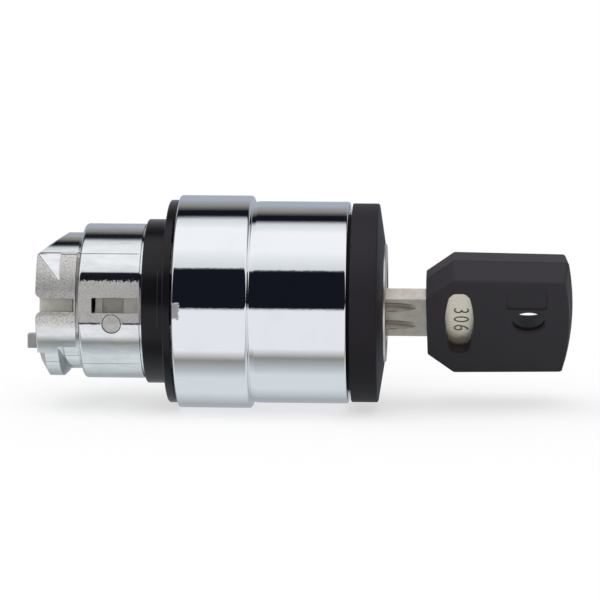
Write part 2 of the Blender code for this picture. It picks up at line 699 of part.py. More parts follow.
def build_plug(brass, key_axis):
    """Plug with its keyway, wafer slots, tail with a clip groove, and tang."""
    clip_x = CLIP_FRONT_X
    groove = CLIP_THICK + 2 * RUN_GAP
    neck_r = CLIP_NECK_R
    edge = PLUG_EDGE
    face_x = LOCK_FACE_X - RUN_GAP
    profile = [
        (TAIL_REAR_X, 0.0),
        (TAIL_REAR_X, TAIL_R),
        (clip_x - groove, TAIL_R),
        (clip_x - groove, neck_r),
        (clip_x, neck_r),
        (clip_x, TAIL_R),
        (WEB_FRONT_X + 2 * GAP, TAIL_R),
        (WEB_FRONT_X + 2 * GAP, PLUG_R),
        (face_x - edge, PLUG_R),
        (face_x, PLUG_R - edge),
        (face_x, 0.0),
    ]
    plug = add("lock_plug", ring_mesh(profile, SIDES_MEDIUM), brass, key_axis)
    tang = block_mesh(
        (TANG_REAR_X, -TANG_THICK / 2, -TANG_WIDTH / 2),
        (TAIL_REAR_X + OVER, TANG_THICK / 2, TANG_WIDTH / 2),
    )
    cut(plug, cutter("tang", tang, key_axis), "UNION")
    keyway = block_mesh(
        (BLADE_TIP_X - GAP, -KEYWAY_HALF, BLADE_BOTTOM - GAP),
        (LOCK_FACE_X + OVER, KEYWAY_HALF, BLADE_TOP + GAP),
    )
    cut(plug, cutter("keyway", keyway, key_axis))
    half_y = WAFER_WIDTH / 2 + GAP
    half_x = WAFER_THICK / 2 + GAP
    for index in range(WAFER_COUNT):
        x = WAFER_FIRST_X + index * WAFER_PITCH
        slot = block_mesh((x - half_x, -half_y, -PLUG_R - OVER), (x + half_x, half_y, PLUG_R + OVER))
        cut(plug, cutter("wafer_slot_%d" % (index + 1), slot, key_axis))
        low = (x - half_x, half_y - OVER, LUG_LOW - GAP)
        high = (x + half_x, LUG_END + GAP, LUG_LOW + LUG_THICK + LUG_TRAVEL + GAP)
        cut(plug, cutter("lug_slot_%d" % (index + 1), block_mesh(low, high), key_axis))
    return plug


def wafer_outline():
    """Half-width sides, round ends that follow the plug, and the spring lug."""
    half = WAFER_WIDTH / 2
    end_r = PLUG_R - RUN_GAP
    corner = math.degrees(math.asin(half / end_r))
    lower = arc((0.0, 0.0), end_r, -QUARTER_TURN - corner, -QUARTER_TURN + corner, CHORDS_SMALL)
    top_r = end_r - WAFER_LIFT
    top_corner = math.degrees(math.asin(half / top_r))
    upper = arc((0.0, 0.0), top_r, QUARTER_TURN - top_corner, QUARTER_TURN + top_corner, CHORDS_SMALL)
    lug = [(half, LUG_LOW), (LUG_END, LUG_LOW), (LUG_END, LUG_LOW + LUG_THICK), (half, LUG_LOW + LUG_THICK)]
    return lower + lug + upper


def build_wafers(brass, steel, key_axis):
    """Five tumblers, each with a window for the blade and a spring over its lug."""
    for index in range(WAFER_COUNT):
        x = WAFER_FIRST_X + index * WAFER_PITCH
        name = "wafer_%d" % (index + 1)
        low = x - WAFER_THICK / 2
        high = x + WAFER_THICK / 2
        wafer = add(name, prism_mesh(wafer_outline(), low, high, "X"), brass, key_axis)
        window = block_mesh(
            (low - OVER, -KEYWAY_HALF, BLADE_BOTTOM - GAP),
            (high + OVER, KEYWAY_HALF, BLADE_TOP + GAP),
        )
        cut(wafer, cutter("window_%d" % (index + 1), window, key_axis))
        base = LUG_LOW + LUG_THICK + GAP
        centre = (x, (WAFER_WIDTH / 2 + LUG_END) / 2 + GAP / 2, base)
        length = LUG_TRAVEL - 2 * GAP
        coil = coil_mesh(centre, "Z", WAFER_SPRING_R, WAFER_WIRE_R, length,
                         WAFER_SPRING_TURNS, SIDES_COIL, SIDES_WIRE)
        add("wafer_spring_%d" % (index + 1), coil, steel, key_axis)


def build_clip(steel, key_axis):
    """Open clip in the tail's groove, behind the web."""
    low = CLIP_REAR_X
    inner = CLIP_NECK_R + RUN_GAP
    profile = [(low, inner), (low, CLIP_R), (low + CLIP_THICK, CLIP_R), (low + CLIP_THICK, inner)]
    clip = add("plug_clip", ring_mesh(profile, SIDES_SMALL), steel, key_axis)
    half = CLIP_MOUTH / 2
    mouth = block_mesh((low - OVER, 0.0, -half), (low + CLIP_THICK + OVER, CLIP_R + OVER, half))
    cut(clip, cutter("clip_mouth", mouth, key_axis))
    return clip


def ramp_x(angle):
    """The drum's rear face: two helical ramps of 90 degrees between two levels."""
    turn = (angle - RAMP_START_ANGLE) % FULL_TURN
    if turn < QUARTER_TURN:
        share = 0.0
    elif turn < HALF_TURN:
        share = (turn - QUARTER_TURN) / QUARTER_TURN
    elif turn < HALF_TURN + QUARTER_TURN:
        share = 1.0
    else:
        share = (FULL_TURN - turn) / QUARTER_TURN
    return RAMP_LOW_X - STROKE * share


def build_drum(white, drum_axis):
    """White drum that the tang turns; its ramps push the plungers back."""
    steps = DRUM_STEPS
    floor_x = CLIP_REAR_X - GAP - DRUM_FLOOR
    ledge_x = RAMP_LOW_X + RAMP_LEDGE_X
    bore_r = DRUM_BORE_R
    seat_r = CLIP_R + GAP
    front = DRUM_FRONT_X
    bm = bmesh.new()
    rings = []
    for step in range(steps):
        angle = FULL_TURN * step / steps
        turn = math.radians(angle)
        face = ramp_x(angle)
        profile = [
            (front, seat_r), (front, DRUM_R), (GROOVE_FRONT, DRUM_R), (GROOVE_FRONT, DRUM_GROOVE_R),
            (GROOVE_REAR, DRUM_GROOVE_R), (GROOVE_REAR, DRUM_R), (face, DRUM_R), (face, RAMP_INNER_R),
            (ledge_x, RAMP_INNER_R), (ledge_x, bore_r), (floor_x, bore_r), (floor_x, seat_r),
        ]
        rings.append([bm.verts.new((x, r * math.cos(turn), r * math.sin(turn))) for x, r in profile])
    count = len(rings[0])
    for step in range(steps):
        here = rings[step]
        there = rings[(step + 1) % steps]
        for index in range(count):
            after = (index + 1) % count
            bm.faces.new((here[index], here[after], there[after], there[index]))
    drum = add("cam_drum", bm, white, drum_axis)
    pocket_low = bore_r + BALL_POCKET_FLOOR
    pocket = round_mesh(BALL_R + PRESS_GAP, pocket_low, DRUM_R + OVER, BALL_X, sides=SIDES_BALL)
    cut(drum, cutter("ball_pocket", pocket, drum_axis))
    return drum


def build_drum_ribs(white, drum, drum_axis, key_axis):
    """Two walls inside the drum's bore that the flat tang turns."""
    low_x = TANG_REAR_X - RUN_GAP
    high_x = TAIL_REAR_X - DRUM_RIB_SETBACK
    gap_half = TANG_THICK / 2 + RUN_GAP
    for label, sign in (("left", -1.0), ("right", 1.0)):
        near = sign * gap_half
        far = sign * (DRUM_BORE_R + DRUM_RIB_SINK)
        low = (low_x, min(near, far), -DRUM_RIB_HALF)
        high = (high_x, max(near, far), DRUM_RIB_HALF)
        wall = block_mesh(low, high)
        cut(drum, cutter("drum_rib_" + label, wall, key_axis), "UNION")


def build_detent(steel, drum_axis):
    """Spring-loaded ball in the drum, run against the casting's bore."""
    bm = bmesh.new()
    bmesh.ops.create_uvsphere(bm, u_segments=SIDES_BALL, v_segments=CHORDS_LARGE, radius=BALL_R)
    centre_y = DRUM_R - BALL_R + BALL_PROUD
    bmesh.ops.translate(bm, verts=bm.verts, vec=(BALL_X, centre_y, 0.0))
    add("detent_ball", bm, steel, drum_axis)
    low = DRUM_BORE_R + BALL_POCKET_FLOOR + SPRING_REST
    length = centre_y - BALL_R - low - SPRING_REST
    spring_r = BALL_R - DETENT_SPRING_INSET
    coil = coil_mesh((BALL_X, low, 0.0), "Y", spring_r, DETENT_WIRE_R, length,
                     DETENT_SPRING_TURNS, SIDES_COIL, SIDES_WIRE)
    add("detent_spring", coil, steel, drum_axis)


def build_guide(white):
    """Plate in the rear of the neck with a slot for each plunger's tab."""
    outer = BORE_R - GAP
    skirt_x = RAMP_HIGH_X - GAP
    profile = [
        (GUIDE_REAR_X, 0.0), (GUIDE_REAR_X, GUIDE_R), (GUIDE_SEAT_X, GUIDE_R), (GUIDE_SEAT_X, outer),
        (skirt_x, outer), (skirt_x, outer - GUIDE_SKIRT), (GUIDE_FRONT_X, outer - GUIDE_SKIRT), (GUIDE_FRONT_X, 0.0),
    ]
    guide = add("pusher_guide", ring_mesh(profile, SIDES_MEDIUM), white)
    half_y = PUSHER_TAB_WIDTH / 2 + GAP
    half_z = PUSHER_TAB_HEIGHT / 2 + GAP
    for label, sign in (("low", -1.0), ("high", 1.0)):
        z = sign * PUSHER_RADIUS
        slot = block_mesh((GUIDE_REAR_X - OVER, -half_y, z - half_z), (GUIDE_FRONT_X + OVER, half_y, z + half_z))
        cut(guide, cutter("guide_slot_" + label, slot))
    return guide


def build_pusher(name, sign, shift, grey, steel):
    """A plunger: tab through the guide, round flange for its spring, nose on the ramp."""
    z = sign * PUSHER_RADIUS
    tab_x = PUSHER_TAB_X + shift
    nose_x = NOSE_X + shift
    flange_front = nose_x - PUSHER_NOSE_R
    flange_rear = flange_front - PUSHER_FLANGE_THICK
    half_y = PUSHER_TAB_WIDTH / 2
    half_z = PUSHER_TAB_HEIGHT / 2
    edge = PUSHER_TAB_EDGE
    nose_foot = flange_front - RUN_GAP
    tab = [
        (tab_x, -half_y + edge), (tab_x + edge, -half_y), (flange_front, -half_y),
        (flange_front, half_y), (tab_x + edge, half_y), (tab_x, half_y - edge),
    ]
    pusher = add(name, prism_mesh(tab, z - half_z, z + half_z, "Z"), grey)
    disc = prism_mesh(
        [(PUSHER_FLANGE_R * math.cos(t), z + PUSHER_FLANGE_R * math.sin(t))
         for t in [math.tau * step / SIDES_SMALL for step in range(SIDES_SMALL)]],
        flange_rear, flange_front, "X",
    )
    cut(pusher, cutter(name + "_flange", disc), "UNION")
    nose = [(nose_foot, -PUSHER_NOSE_R)]
    nose += [(flange_front + b, a) for a, b in arc((0.0, 0.0), PUSHER_NOSE_R, HALF_TURN, 0.0, CHORDS_SMALL)]
    nose += [(nose_foot, PUSHER_NOSE_R)]
    cut(pusher, cutter(name + "_nose", prism_mesh(nose, z - half_z, z + half_z, "Z")), "UNION")
    length = flange_rear - GUIDE_FRONT_X - 2 * SPRING_REST
    foot = (GUIDE_FRONT_X + SPRING_REST, 0.0, z)
    coil = coil_mesh(foot, "X", SPRING_R, SPRING_WIRE_R, length, SPRING_TURNS, SIDES_BALL, SIDES_WIRE)
    add(name.replace("pusher", "pusher_spring"), coil, steel)
    return pusher


def build_blade(steel, key_axis):
    """Flat key blade with its cuts, two milled grooves and the plate inside the bow."""
    half = BLADE_HEIGHT / 2
    mid = KEY_DROP
    top = [(BLADE_TIP_X + BLADE_TIP_RUN, mid + half)]
    for index, depth in enumerate(CUT_DEPTHS):
        x = WAFER_FIRST_X + index * WAFER_PITCH
        floor = CUT_FLOOR_HALF
        run = min(depth * CUT_SLOPE, WAFER_PITCH / 2 - floor - CUT_RIDGE_HALF)
        top += [(x - floor - run, mid + half), (x - floor, mid + half - depth),
                (x + floor, mid + half - depth), (x + floor + run, mid + half)]
    plate = PLATE_HEIGHT / 2
    outline = [(BLADE_TIP_X, mid - BLADE_TIP_HALF), (BLADE_TIP_X, mid + BLADE_TIP_HALF)] + top
    outline += [
        (PLATE_REAR_X, mid + half), (PLATE_REAR_X, mid + plate), (PLATE_FRONT_X, mid + plate),
        (PLATE_FRONT_X, mid - plate), (PLATE_REAR_X, mid - plate), (PLATE_REAR_X, mid - half),
        (BLADE_TIP_X + BLADE_TIP_RUN, mid - half),
    ]
    blade = add("key_blade", plan_prism(outline, -BLADE_THICK / 2, BLADE_THICK / 2), steel, key_axis)
    half_width = BLADE_GROOVE_WIDTH / 2
    runout_x = BLADE_GROOVE_END_X - BLADE_GROOVE_RUNOUT
    for side, sign in (("near", -1.0), ("far", 1.0)):
        for index, height in enumerate(BLADE_GROOVE_HEIGHTS):
            z = mid + height
            groove = [
                (BLADE_TIP_X - OVER, z - half_width), (runout_x, z - half_width),
                (BLADE_GROOVE_END_X, z), (runout_x, z + half_width),
                (BLADE_TIP_X - OVER, z + half_width),
            ]
            ends = sorted((sign * (BLADE_THICK / 2 - BLADE_GROOVE_DEPTH), sign * (BLADE_THICK / 2 + OVER)))
            cut(blade, cutter("groove_%s_%d" % (side, index + 1), plan_prism(groove, ends[0], ends[1]), key_axis))
    return blade


def bow_outline(inset):
    """The bow seen flat on, drawn in by an inset."""
    half = BOW_WIDTH / 2 - inset
    rear = BOW_REAR_X + inset * BOW_REAR_DRAFT_SHARE
    front = BOW_FRONT_X - inset * BOW_FRONT_DRAFT_SHARE
    bulge_r = (half**2 + BOW_BULGE**2) / (2 * BOW_BULGE)
    reach = math.degrees(math.asin((half - BOW_TAPER) / bulge_r))
    corner_z = half - BOW_CORNER_WIDTH
    end = arc((front - bulge_r, 0.0), bulge_r, reach, -reach, CHORDS_LARGE)
    shoulder = half - BOW_TAPER + BOW_ROUND_DROP
    first = end[0]
    last = end[-1]
    points = [
        (rear, -corner_z), (rear, corner_z),
        (BOW_REAR_X + BOW_CORNER_X, half), (first[0] - BOW_ROUND, shoulder),
    ]
    points += [(x, z) for x, z in end]
    points += [(last[0] - BOW_ROUND, -shoulder), (BOW_REAR_X + BOW_CORNER_X, -half)]
    return points


def build_bow(black, key_axis):
    """Moulded bow: drafted round its parting line, with number window and ring hole."""
    bm = bmesh.new()
    half = BOW_THICK / 2
    loops = []
    for y, inset in ((-half, BOW_DRAFT), (0.0, 0.0), (half, BOW_DRAFT)):
        loops.append([bm.verts.new((x, y, z + KEY_DROP)) for x, z in bow_outline(inset)])
    count = len(loops[0])
    for here, there in zip(loops, loops[1:]):
        for index in range(count):
            after = (index + 1) % count
            bm.faces.new((here[index], here[after], there[after], there[index]))
    bm.faces.new(loops[0])
    bm.faces.new(loops[-1])
    bow = add("key_bow", bm, black, key_axis)

    pocket_half = BLADE_THICK / 2 + GAP
    pocket_x = PLATE_REAR_X - GAP
    plate = PLATE_HEIGHT / 2 + GAP
    throat = BLADE_HEIGHT / 2 + GAP
    shape = [
        (BOW_REAR_X - OVER, KEY_DROP - throat), (pocket_x, KEY_DROP - throat),
        (pocket_x, KEY_DROP - plate), (PLATE_FRONT_X + GAP, KEY_DROP - plate),
        (PLATE_FRONT_X + GAP, KEY_DROP + plate), (pocket_x, KEY_DROP + plate),
        (pocket_x, KEY_DROP + throat), (BOW_REAR_X - OVER, KEY_DROP + throat),
    ]
    cut(bow, cutter("blade_pocket", plan_prism(shape, -pocket_half, pocket_half), key_axis))

    slot_z = KEY_DROP + SLOT_RISE
    length = SLOT_LENGTH / 2
    width = SLOT_WIDTH / 2
    barrel_r = (length**2 + SLOT_BULGE**2) / (2 * SLOT_BULGE)
    sweep = math.degrees(math.asin((length - SLOT_CORNER) / barrel_r))
    right = arc((SLOT_X + width - barrel_r, slot_z), barrel_r, -sweep, sweep, CHORDS_SMALL)
    left = arc((SLOT_X - width + barrel_r, slot_z), barrel_r, HALF_TURN - sweep, HALF_TURN + sweep, CHORDS_SMALL)
    top_cap = [(SLOT_X + SLOT_END_HALF, slot_z + length), (SLOT_X - SLOT_END_HALF, slot_z + length)]
    low_cap = [(SLOT_X - SLOT_END_HALF, slot_z - length), (SLOT_X + SLOT_END_HALF, slot_z - length)]
    window = plan_prism(right + top_cap + left + low_cap, -half - OVER, -pocket_half + GAP)
    cut(bow, cutter("number_window", window, key_axis))

    cut(bow, cutter("ring_hole", ring_hole_mesh(half), key_axis))
    return bow


def ring_hole_mesh(half):
    """The key-ring hole: a rounded rim on the number side, a wide funnel on the other."""
    bm = bmesh.new()
    past = RUN_GAP
    stations = [
        (-half - past, HOLE_R + HOLE_EDGE + past),
        (-half + HOLE_EDGE, HOLE_R),
        (-half + 2 * HOLE_EDGE, HOLE_R),
        (half + past, HOLE_FAR_R + past / 2),
    ]
    rings = []
    for y, radius in stations:
        rings.append([
            bm.verts.new((HOLE_X + radius * math.cos(t), y, KEY_DROP + radius * math.sin(t)))
            for t in [math.tau * (step + 0.5) / HOLE_SIDES for step in range(HOLE_SIDES)]
        ])
    for here, there in zip(rings, rings[1:]):
        for index in range(HOLE_SIDES):
            after = (index + 1) % HOLE_SIDES
            bm.faces.new((here[index], here[after], there[after], there[index]))
    bm.faces.new(rings[0])
    bm.faces.new(rings[-1])
    return bm


def main():
    clear_scene()
    chrome = material("bezel_chrome", (0.8, 0.81, 0.83), 0.06, 1.0)
    zinc = material("cast_zinc", (0.66, 0.67, 0.68), 0.32, 1.0)
    nickel = material("lock_nickel", (0.72, 0.71, 0.68), 0.18, 1.0)
    steel = material("spring_steel", (0.55, 0.55, 0.56), 0.3, 1.0)
    key_steel = material("key_nickel", (0.67, 0.65, 0.6), 0.28, 1.0)
    brass = material("wafer_brass", (0.78, 0.6, 0.3), 0.3, 1.0)
    black = material("cap_black", (0.024, 0.023, 0.027), 0.45)
    bow_black = material("bow_black", (0.03, 0.03, 0.033), 0.5)
    rubber = material("gasket_rubber", (0.008, 0.008, 0.01), 0.35)
    white = material("cam_white", (0.8, 0.78, 0.7), 0.5)
    grey = material("pusher_grey", (0.5, 0.51, 0.51), 0.5)

    key_axis = tilted("key_turn_axis", KEY_ANGLE)
    drum_axis = tilted("drum_axis", -TURN_RANGE / 2)

    build_bezel(chrome)
    build_gasket(rubber)
    build_cap(black)
    build_seal(rubber)
    build_barrel(zinc)
    build_pin(steel)
    build_stator(nickel)
    build_nut(steel)
    build_plug(nickel, key_axis)
    build_wafers(brass, steel, key_axis)
    build_clip(steel, key_axis)
    drum = build_drum(white, drum_axis)
    build_drum_ribs(white, drum, drum_axis, key_axis)
    build_detent(steel, drum_axis)
    build_guide(white)
    build_pusher("pusher_low", -1.0, 0.0, grey, steel)
    build_pusher("pusher_high", 1.0, STROKE, grey, steel)
    build_blade(key_steel, key_axis)
    build_bow(bow_black, key_axis)


main()
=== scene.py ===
"""Key selector switch head, dressed for a studio picture on the frame of its solids."""

import json
import math
from types import SimpleNamespace

import bmesh
import bpy
from bpy.props import FloatProperty, FloatVectorProperty, IntProperty, PointerProperty
from mathutils import Matrix, Vector


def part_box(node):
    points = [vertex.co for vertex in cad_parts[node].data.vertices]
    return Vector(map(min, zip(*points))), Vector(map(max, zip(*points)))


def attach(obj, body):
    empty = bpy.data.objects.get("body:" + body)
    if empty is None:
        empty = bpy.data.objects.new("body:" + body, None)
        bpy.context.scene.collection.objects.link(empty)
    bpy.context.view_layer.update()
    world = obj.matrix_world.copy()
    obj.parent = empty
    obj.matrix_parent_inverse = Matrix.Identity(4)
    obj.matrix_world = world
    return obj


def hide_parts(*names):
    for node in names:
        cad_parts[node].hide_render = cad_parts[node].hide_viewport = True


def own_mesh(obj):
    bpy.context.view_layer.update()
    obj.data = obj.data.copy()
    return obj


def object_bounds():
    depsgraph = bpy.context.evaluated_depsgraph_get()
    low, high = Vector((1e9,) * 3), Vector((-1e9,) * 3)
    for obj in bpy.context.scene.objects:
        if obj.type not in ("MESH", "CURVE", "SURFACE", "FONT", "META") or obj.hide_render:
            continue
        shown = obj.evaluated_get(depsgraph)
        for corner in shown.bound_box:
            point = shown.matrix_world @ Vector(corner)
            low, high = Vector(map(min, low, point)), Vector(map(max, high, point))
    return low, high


bl_info = {
    "name": "Key selector switch head",
    "version": (1, 0, 0),
    "blender": (4, 5, 0),
    "location": "3D View > Sidebar > Switch",
    "description": "Builds the bezel, barrel, cap, lock and key of a key switch head with its stage",
    "category": "Object",
}

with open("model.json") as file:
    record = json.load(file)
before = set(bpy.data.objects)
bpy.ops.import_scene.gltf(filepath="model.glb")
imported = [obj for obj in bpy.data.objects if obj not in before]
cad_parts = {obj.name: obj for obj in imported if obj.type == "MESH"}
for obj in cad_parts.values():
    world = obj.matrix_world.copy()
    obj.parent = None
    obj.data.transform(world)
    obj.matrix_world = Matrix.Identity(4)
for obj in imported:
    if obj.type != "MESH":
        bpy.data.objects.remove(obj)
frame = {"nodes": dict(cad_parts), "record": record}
CAD_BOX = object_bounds()

MM = 0.001
WELD = 0.0005 * MM
FACET_ANGLE = math.radians(32.0)
WHITE = (1.0, 1.0, 1.0, 1.0)


def reach(node):
    """Rear X, front X and outer radius of a round node of the frame, in millimetres."""
    low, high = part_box(node)
    return low[0] / MM, high[0] / MM, high[2] / MM


# Places that the frame gives, and sizes that finishes share with pieces, in millimetres

BEZEL_REAR, BEZEL_FRONT, BEZEL_RADIUS = reach("bezel_shell")
CAP_REAR, CAP_FRONT, CAP_RADIUS = reach("front_cap")
GASKET_REAR, GASKET_FRONT, GASKET_RADIUS = reach("panel_gasket")
CASTING_REAR, CASTING_FRONT = reach("barrel_casting")[:2]
STATOR_REAR, STATOR_FRONT = reach("lock_stator")[:2]
BOW_REAR, BOW_FRONT = reach("key_bow")[:2]
BARREL_RADIUS = 10.55
PIN_X = -7.05
PIN_Z = -2.0
PIN_ANGLE = 11.0
KEY_ANGLE = 45.0
KEY_DROP = -2.05
KEY_HEIGHT = 8.2
BOW_HALF = 2.65
HOLE_X = BOW_FRONT - 6.0
HOLE_Z = KEY_DROP + 1.12
HOLE_R = 2.13
OUTSIDE = 12.0

# What gloss reflects all round the head: degrees up from the camera's side, and a tone

CARD = (1.0, 1.01, 1.04)
CARD_EDGE = (0.72, 0.76, 0.78)
TABLE = (0.88, 0.89, 0.93)
TABLE_LINE = (0.28, 0.28, 0.25)
TABLE_FAR = (0.72, 0.77, 0.8)
TABLE_REAR = (0.4, 0.43, 0.45)
WALL = (0.42, 0.45, 0.52)
BLACK = (0.008, 0.009, 0.015)
STUDIO_ROUND = (
    (-180.0, WALL), (-140.0, TABLE_REAR), (-110.0, TABLE_FAR), (-85.0, TABLE_FAR), (-68.0, TABLE_REAR),
    (-60.0, TABLE_LINE), (-48.0, TABLE), (-3.0, TABLE), (0.0, BLACK), (42.0, BLACK), (43.5, CARD_EDGE),
    (66.0, CARD), (92.0, CARD), (106.0, CARD_EDGE), (113.0, BLACK), (122.5, BLACK), (134.0, TABLE_LINE),
    (150.0, WALL))

# Light and floor

SUN_STRENGTH = 1.5
SUN_WIDTH = math.radians(70.0)
SUN_TURN = (math.radians(24.0), math.radians(-14.0), 0.0)
SOFT_LIGHT = 0.5
FLOOR_GLOW = 0.605


# Node trees

def sum_of(operation, swapped=False):
    """A method that adds one Math node to a wire."""

    def method(self, other=None):
        return self.sum(operation, other, self) if swapped else self.sum(operation, self, other)

    return method


class Wire:
    """One output of a node, which takes part in sums as a number does."""

    def __init__(self, tree, socket):
        self.tree = tree
        self.socket = socket

    def sum(self, operation, first, second=None):
        """The output of a new Math node on wires or numbers."""
        node = self.tree.nodes.new("ShaderNodeMath")
        node.operation = operation
        for place, value in enumerate((first, second)):
            if isinstance(value, Wire):
                self.tree.links.new(value.socket, node.inputs[place])
            elif value is not None:
                node.inputs[place].default_value = value
        return Wire(self.tree, node.outputs[0])

    __add__ = sum_of("ADD")
    __radd__ = sum_of("ADD", swapped=True)
    __sub__ = sum_of("SUBTRACT")
    __rsub__ = sum_of("SUBTRACT", swapped=True)
    __mul__ = sum_of("MULTIPLY")
    __rmul__ = sum_of("MULTIPLY", swapped=True)
    __truediv__ = sum_of("DIVIDE")
    __pow__ = sum_of("POWER")
    __abs__ = sum_of("ABSOLUTE")
    most = sum_of("MAXIMUM")
    angle = sum_of("ARCTAN2")


def opaque(tone):
    """A colour with its alpha, or the wire that it is."""
    return tone if isinstance(tone, Wire) else (*tone, 1.0)


class Plan:
    """A node tree under construction, with one method that adds any node."""

    def __init__(self, tree):
        self.tree = tree
        self.tree.nodes.clear()

    def node(self, kind, settings=None, sockets=None, output=0):
        """One output of a new node, made from its settings and the values or links of its sockets."""
        made = self.tree.nodes.new(kind)
        for name, value in (settings or {}).items():
            if name == "stops":
                self.set_stops(made.color_ramp, value)
            else:
                setattr(made, name, value)
        for name, value in (sockets or {}).items():
            if isinstance(value, Wire):
                self.tree.links.new(value.socket, made.inputs[name])
            else:
                made.inputs[name].default_value = value
        if not made.outputs:
            return None
        return Wire(self.tree, made.outputs[output])

    def split(self, place):
        """The X, Y and Z of a place, each as a wire."""
        parts = self.tree.nodes.new("ShaderNodeSeparateXYZ")
        self.tree.links.new(place.socket, parts.inputs[0])
        return [Wire(self.tree, output) for output in parts.outputs]

    @staticmethod
    def set_stops(ramp, stops):
        """Gives a colour ramp its (place, colour) stops."""
        while len(ramp.elements) > 1:
            ramp.elements.remove(ramp.elements[-1])
        for index, (place, colour) in enumerate(stops):
            element = ramp.elements[0] if index == 0 else ramp.elements.new(place)
            element.position = place
            element.color = opaque(colour)


class Finish(Plan):
    """A surface finish: a material whose pattern lies in the row's own coordinates."""

    def __init__(self, name):
        self.material = bpy.data.materials.new(name)
        self.material.use_nodes = True
        super().__init__(self.material.node_tree)
        self.place = self.node("ShaderNodeTexCoord", output="Object")

    def axes(self):
        """The X, Y and Z of the place in millimetres, each as a wire."""
        return [value / MM for value in self.split(self.place)]

    def key_axes(self):
        """X, and the depth and height in the key's own plane at rest, in millimetres."""
        x, y, z = self.axes()
        lean = math.sin(math.radians(KEY_ANGLE))
        return x, (y + z) * lean, (z - y) * lean

    def stretched(self, scale, turn=(0.0, 0.0, 0.0)):
        """The place after a Mapping that turns it and then scales it along the axes."""
        turned = self.node("ShaderNodeMapping", None, {"Vector": self.place, "Rotation": turn})
        return self.node("ShaderNodeMapping", None, {"Vector": turned, "Scale": scale})

    def noise(self, size, detail=3.0, rough=0.55, place=None):
        """Noise whose blobs are about size millimetres across."""
        return self.node("ShaderNodeTexNoise", None, {
            "Vector": place or self.place, "Scale": 1.0 / (size * MM),
            "Detail": detail, "Roughness": rough})

    def spread(self, value, low, high):
        """0 where the value is at low, 1 where it is at high, eased between them."""
        return self.node("ShaderNodeMapRange", {"interpolation_type": "SMOOTHSTEP"}, {
            "Value": value, "From Min": low, "From Max": high})

    def blend(self, factor, first, second):
        """Two colours mixed by a factor."""
        return self.node("ShaderNodeMix", {"data_type": "RGBA"}, {
            0: factor, 6: opaque(first), 7: opaque(second)}, output=2)

    def bump(self, height, depth, below=None):
        """A relief of that depth in millimetres where height runs from 0 to 1."""
        sockets = {"Height": height, "Distance": depth * MM, "Strength": 1.0}
        if below is not None:
            sockets["Normal"] = below
        return self.node("ShaderNodeBump", None, sockets)

    def surface(self, colour, roughness, metallic=0.0, normal=None, fixed=None):
        """Ends the finish in one Principled surface."""
        sockets = {"Base Color": opaque(colour), "Roughness": roughness, "Metallic": metallic}
        if normal is not None:
            sockets["Normal"] = normal
        sockets.update(fixed or {})
        shader = self.node("ShaderNodeBsdfPrincipled", None, sockets)
        self.node("ShaderNodeOutputMaterial", None, {"Surface": shader})
        return self.material


# Finishes

def chrome_finish():
    """Bright plating with a faint ripple that frays sharp reflections, thin marks and a rough gate scar."""
    look = Finish("bezel_chrome")
    x, y, z = look.axes()
    gate_x = 1.8
    gate_z = 0.35
    torn = look.noise(0.4, 3.0, 0.7) - 0.5
    wide = look.spread(abs(x - gate_x) + torn, 0.62, 0.5)
    tall = look.spread(abs(z - gate_z) + torn, 1.1, 0.95)
    scar = wide * tall * look.spread(y, -12.0, -13.0)
    ripple = look.noise(2.6, 1.0, 0.4)
    fray = look.noise(0.45, 2.0, 0.5)
    marks = look.spread(look.noise(4.0, 4.0, 0.6), 0.5, 0.8)
    hairs = look.noise(0.05, 2.0, 0.6, look.stretched((0.02, 1.0, 1.0)))
    hair_lines = look.spread(hairs, 0.7, 0.76)
    normal = look.bump(ripple, 0.003)
    normal = look.bump(fray, 0.0022, normal)
    normal = look.bump(look.noise(0.25, 3.0, 0.7) * scar, 0.14, normal)
    plated = look.blend(marks, (0.86, 0.87, 0.89), (0.83, 0.84, 0.85))
    colour = look.blend(0.8 * scar, plated, (0.5, 0.49, 0.48))
    roughness = 0.02 + 0.02 * marks + 0.04 * hair_lines + 0.3 * scar
    return look.surface(colour, roughness, 1.0, normal)


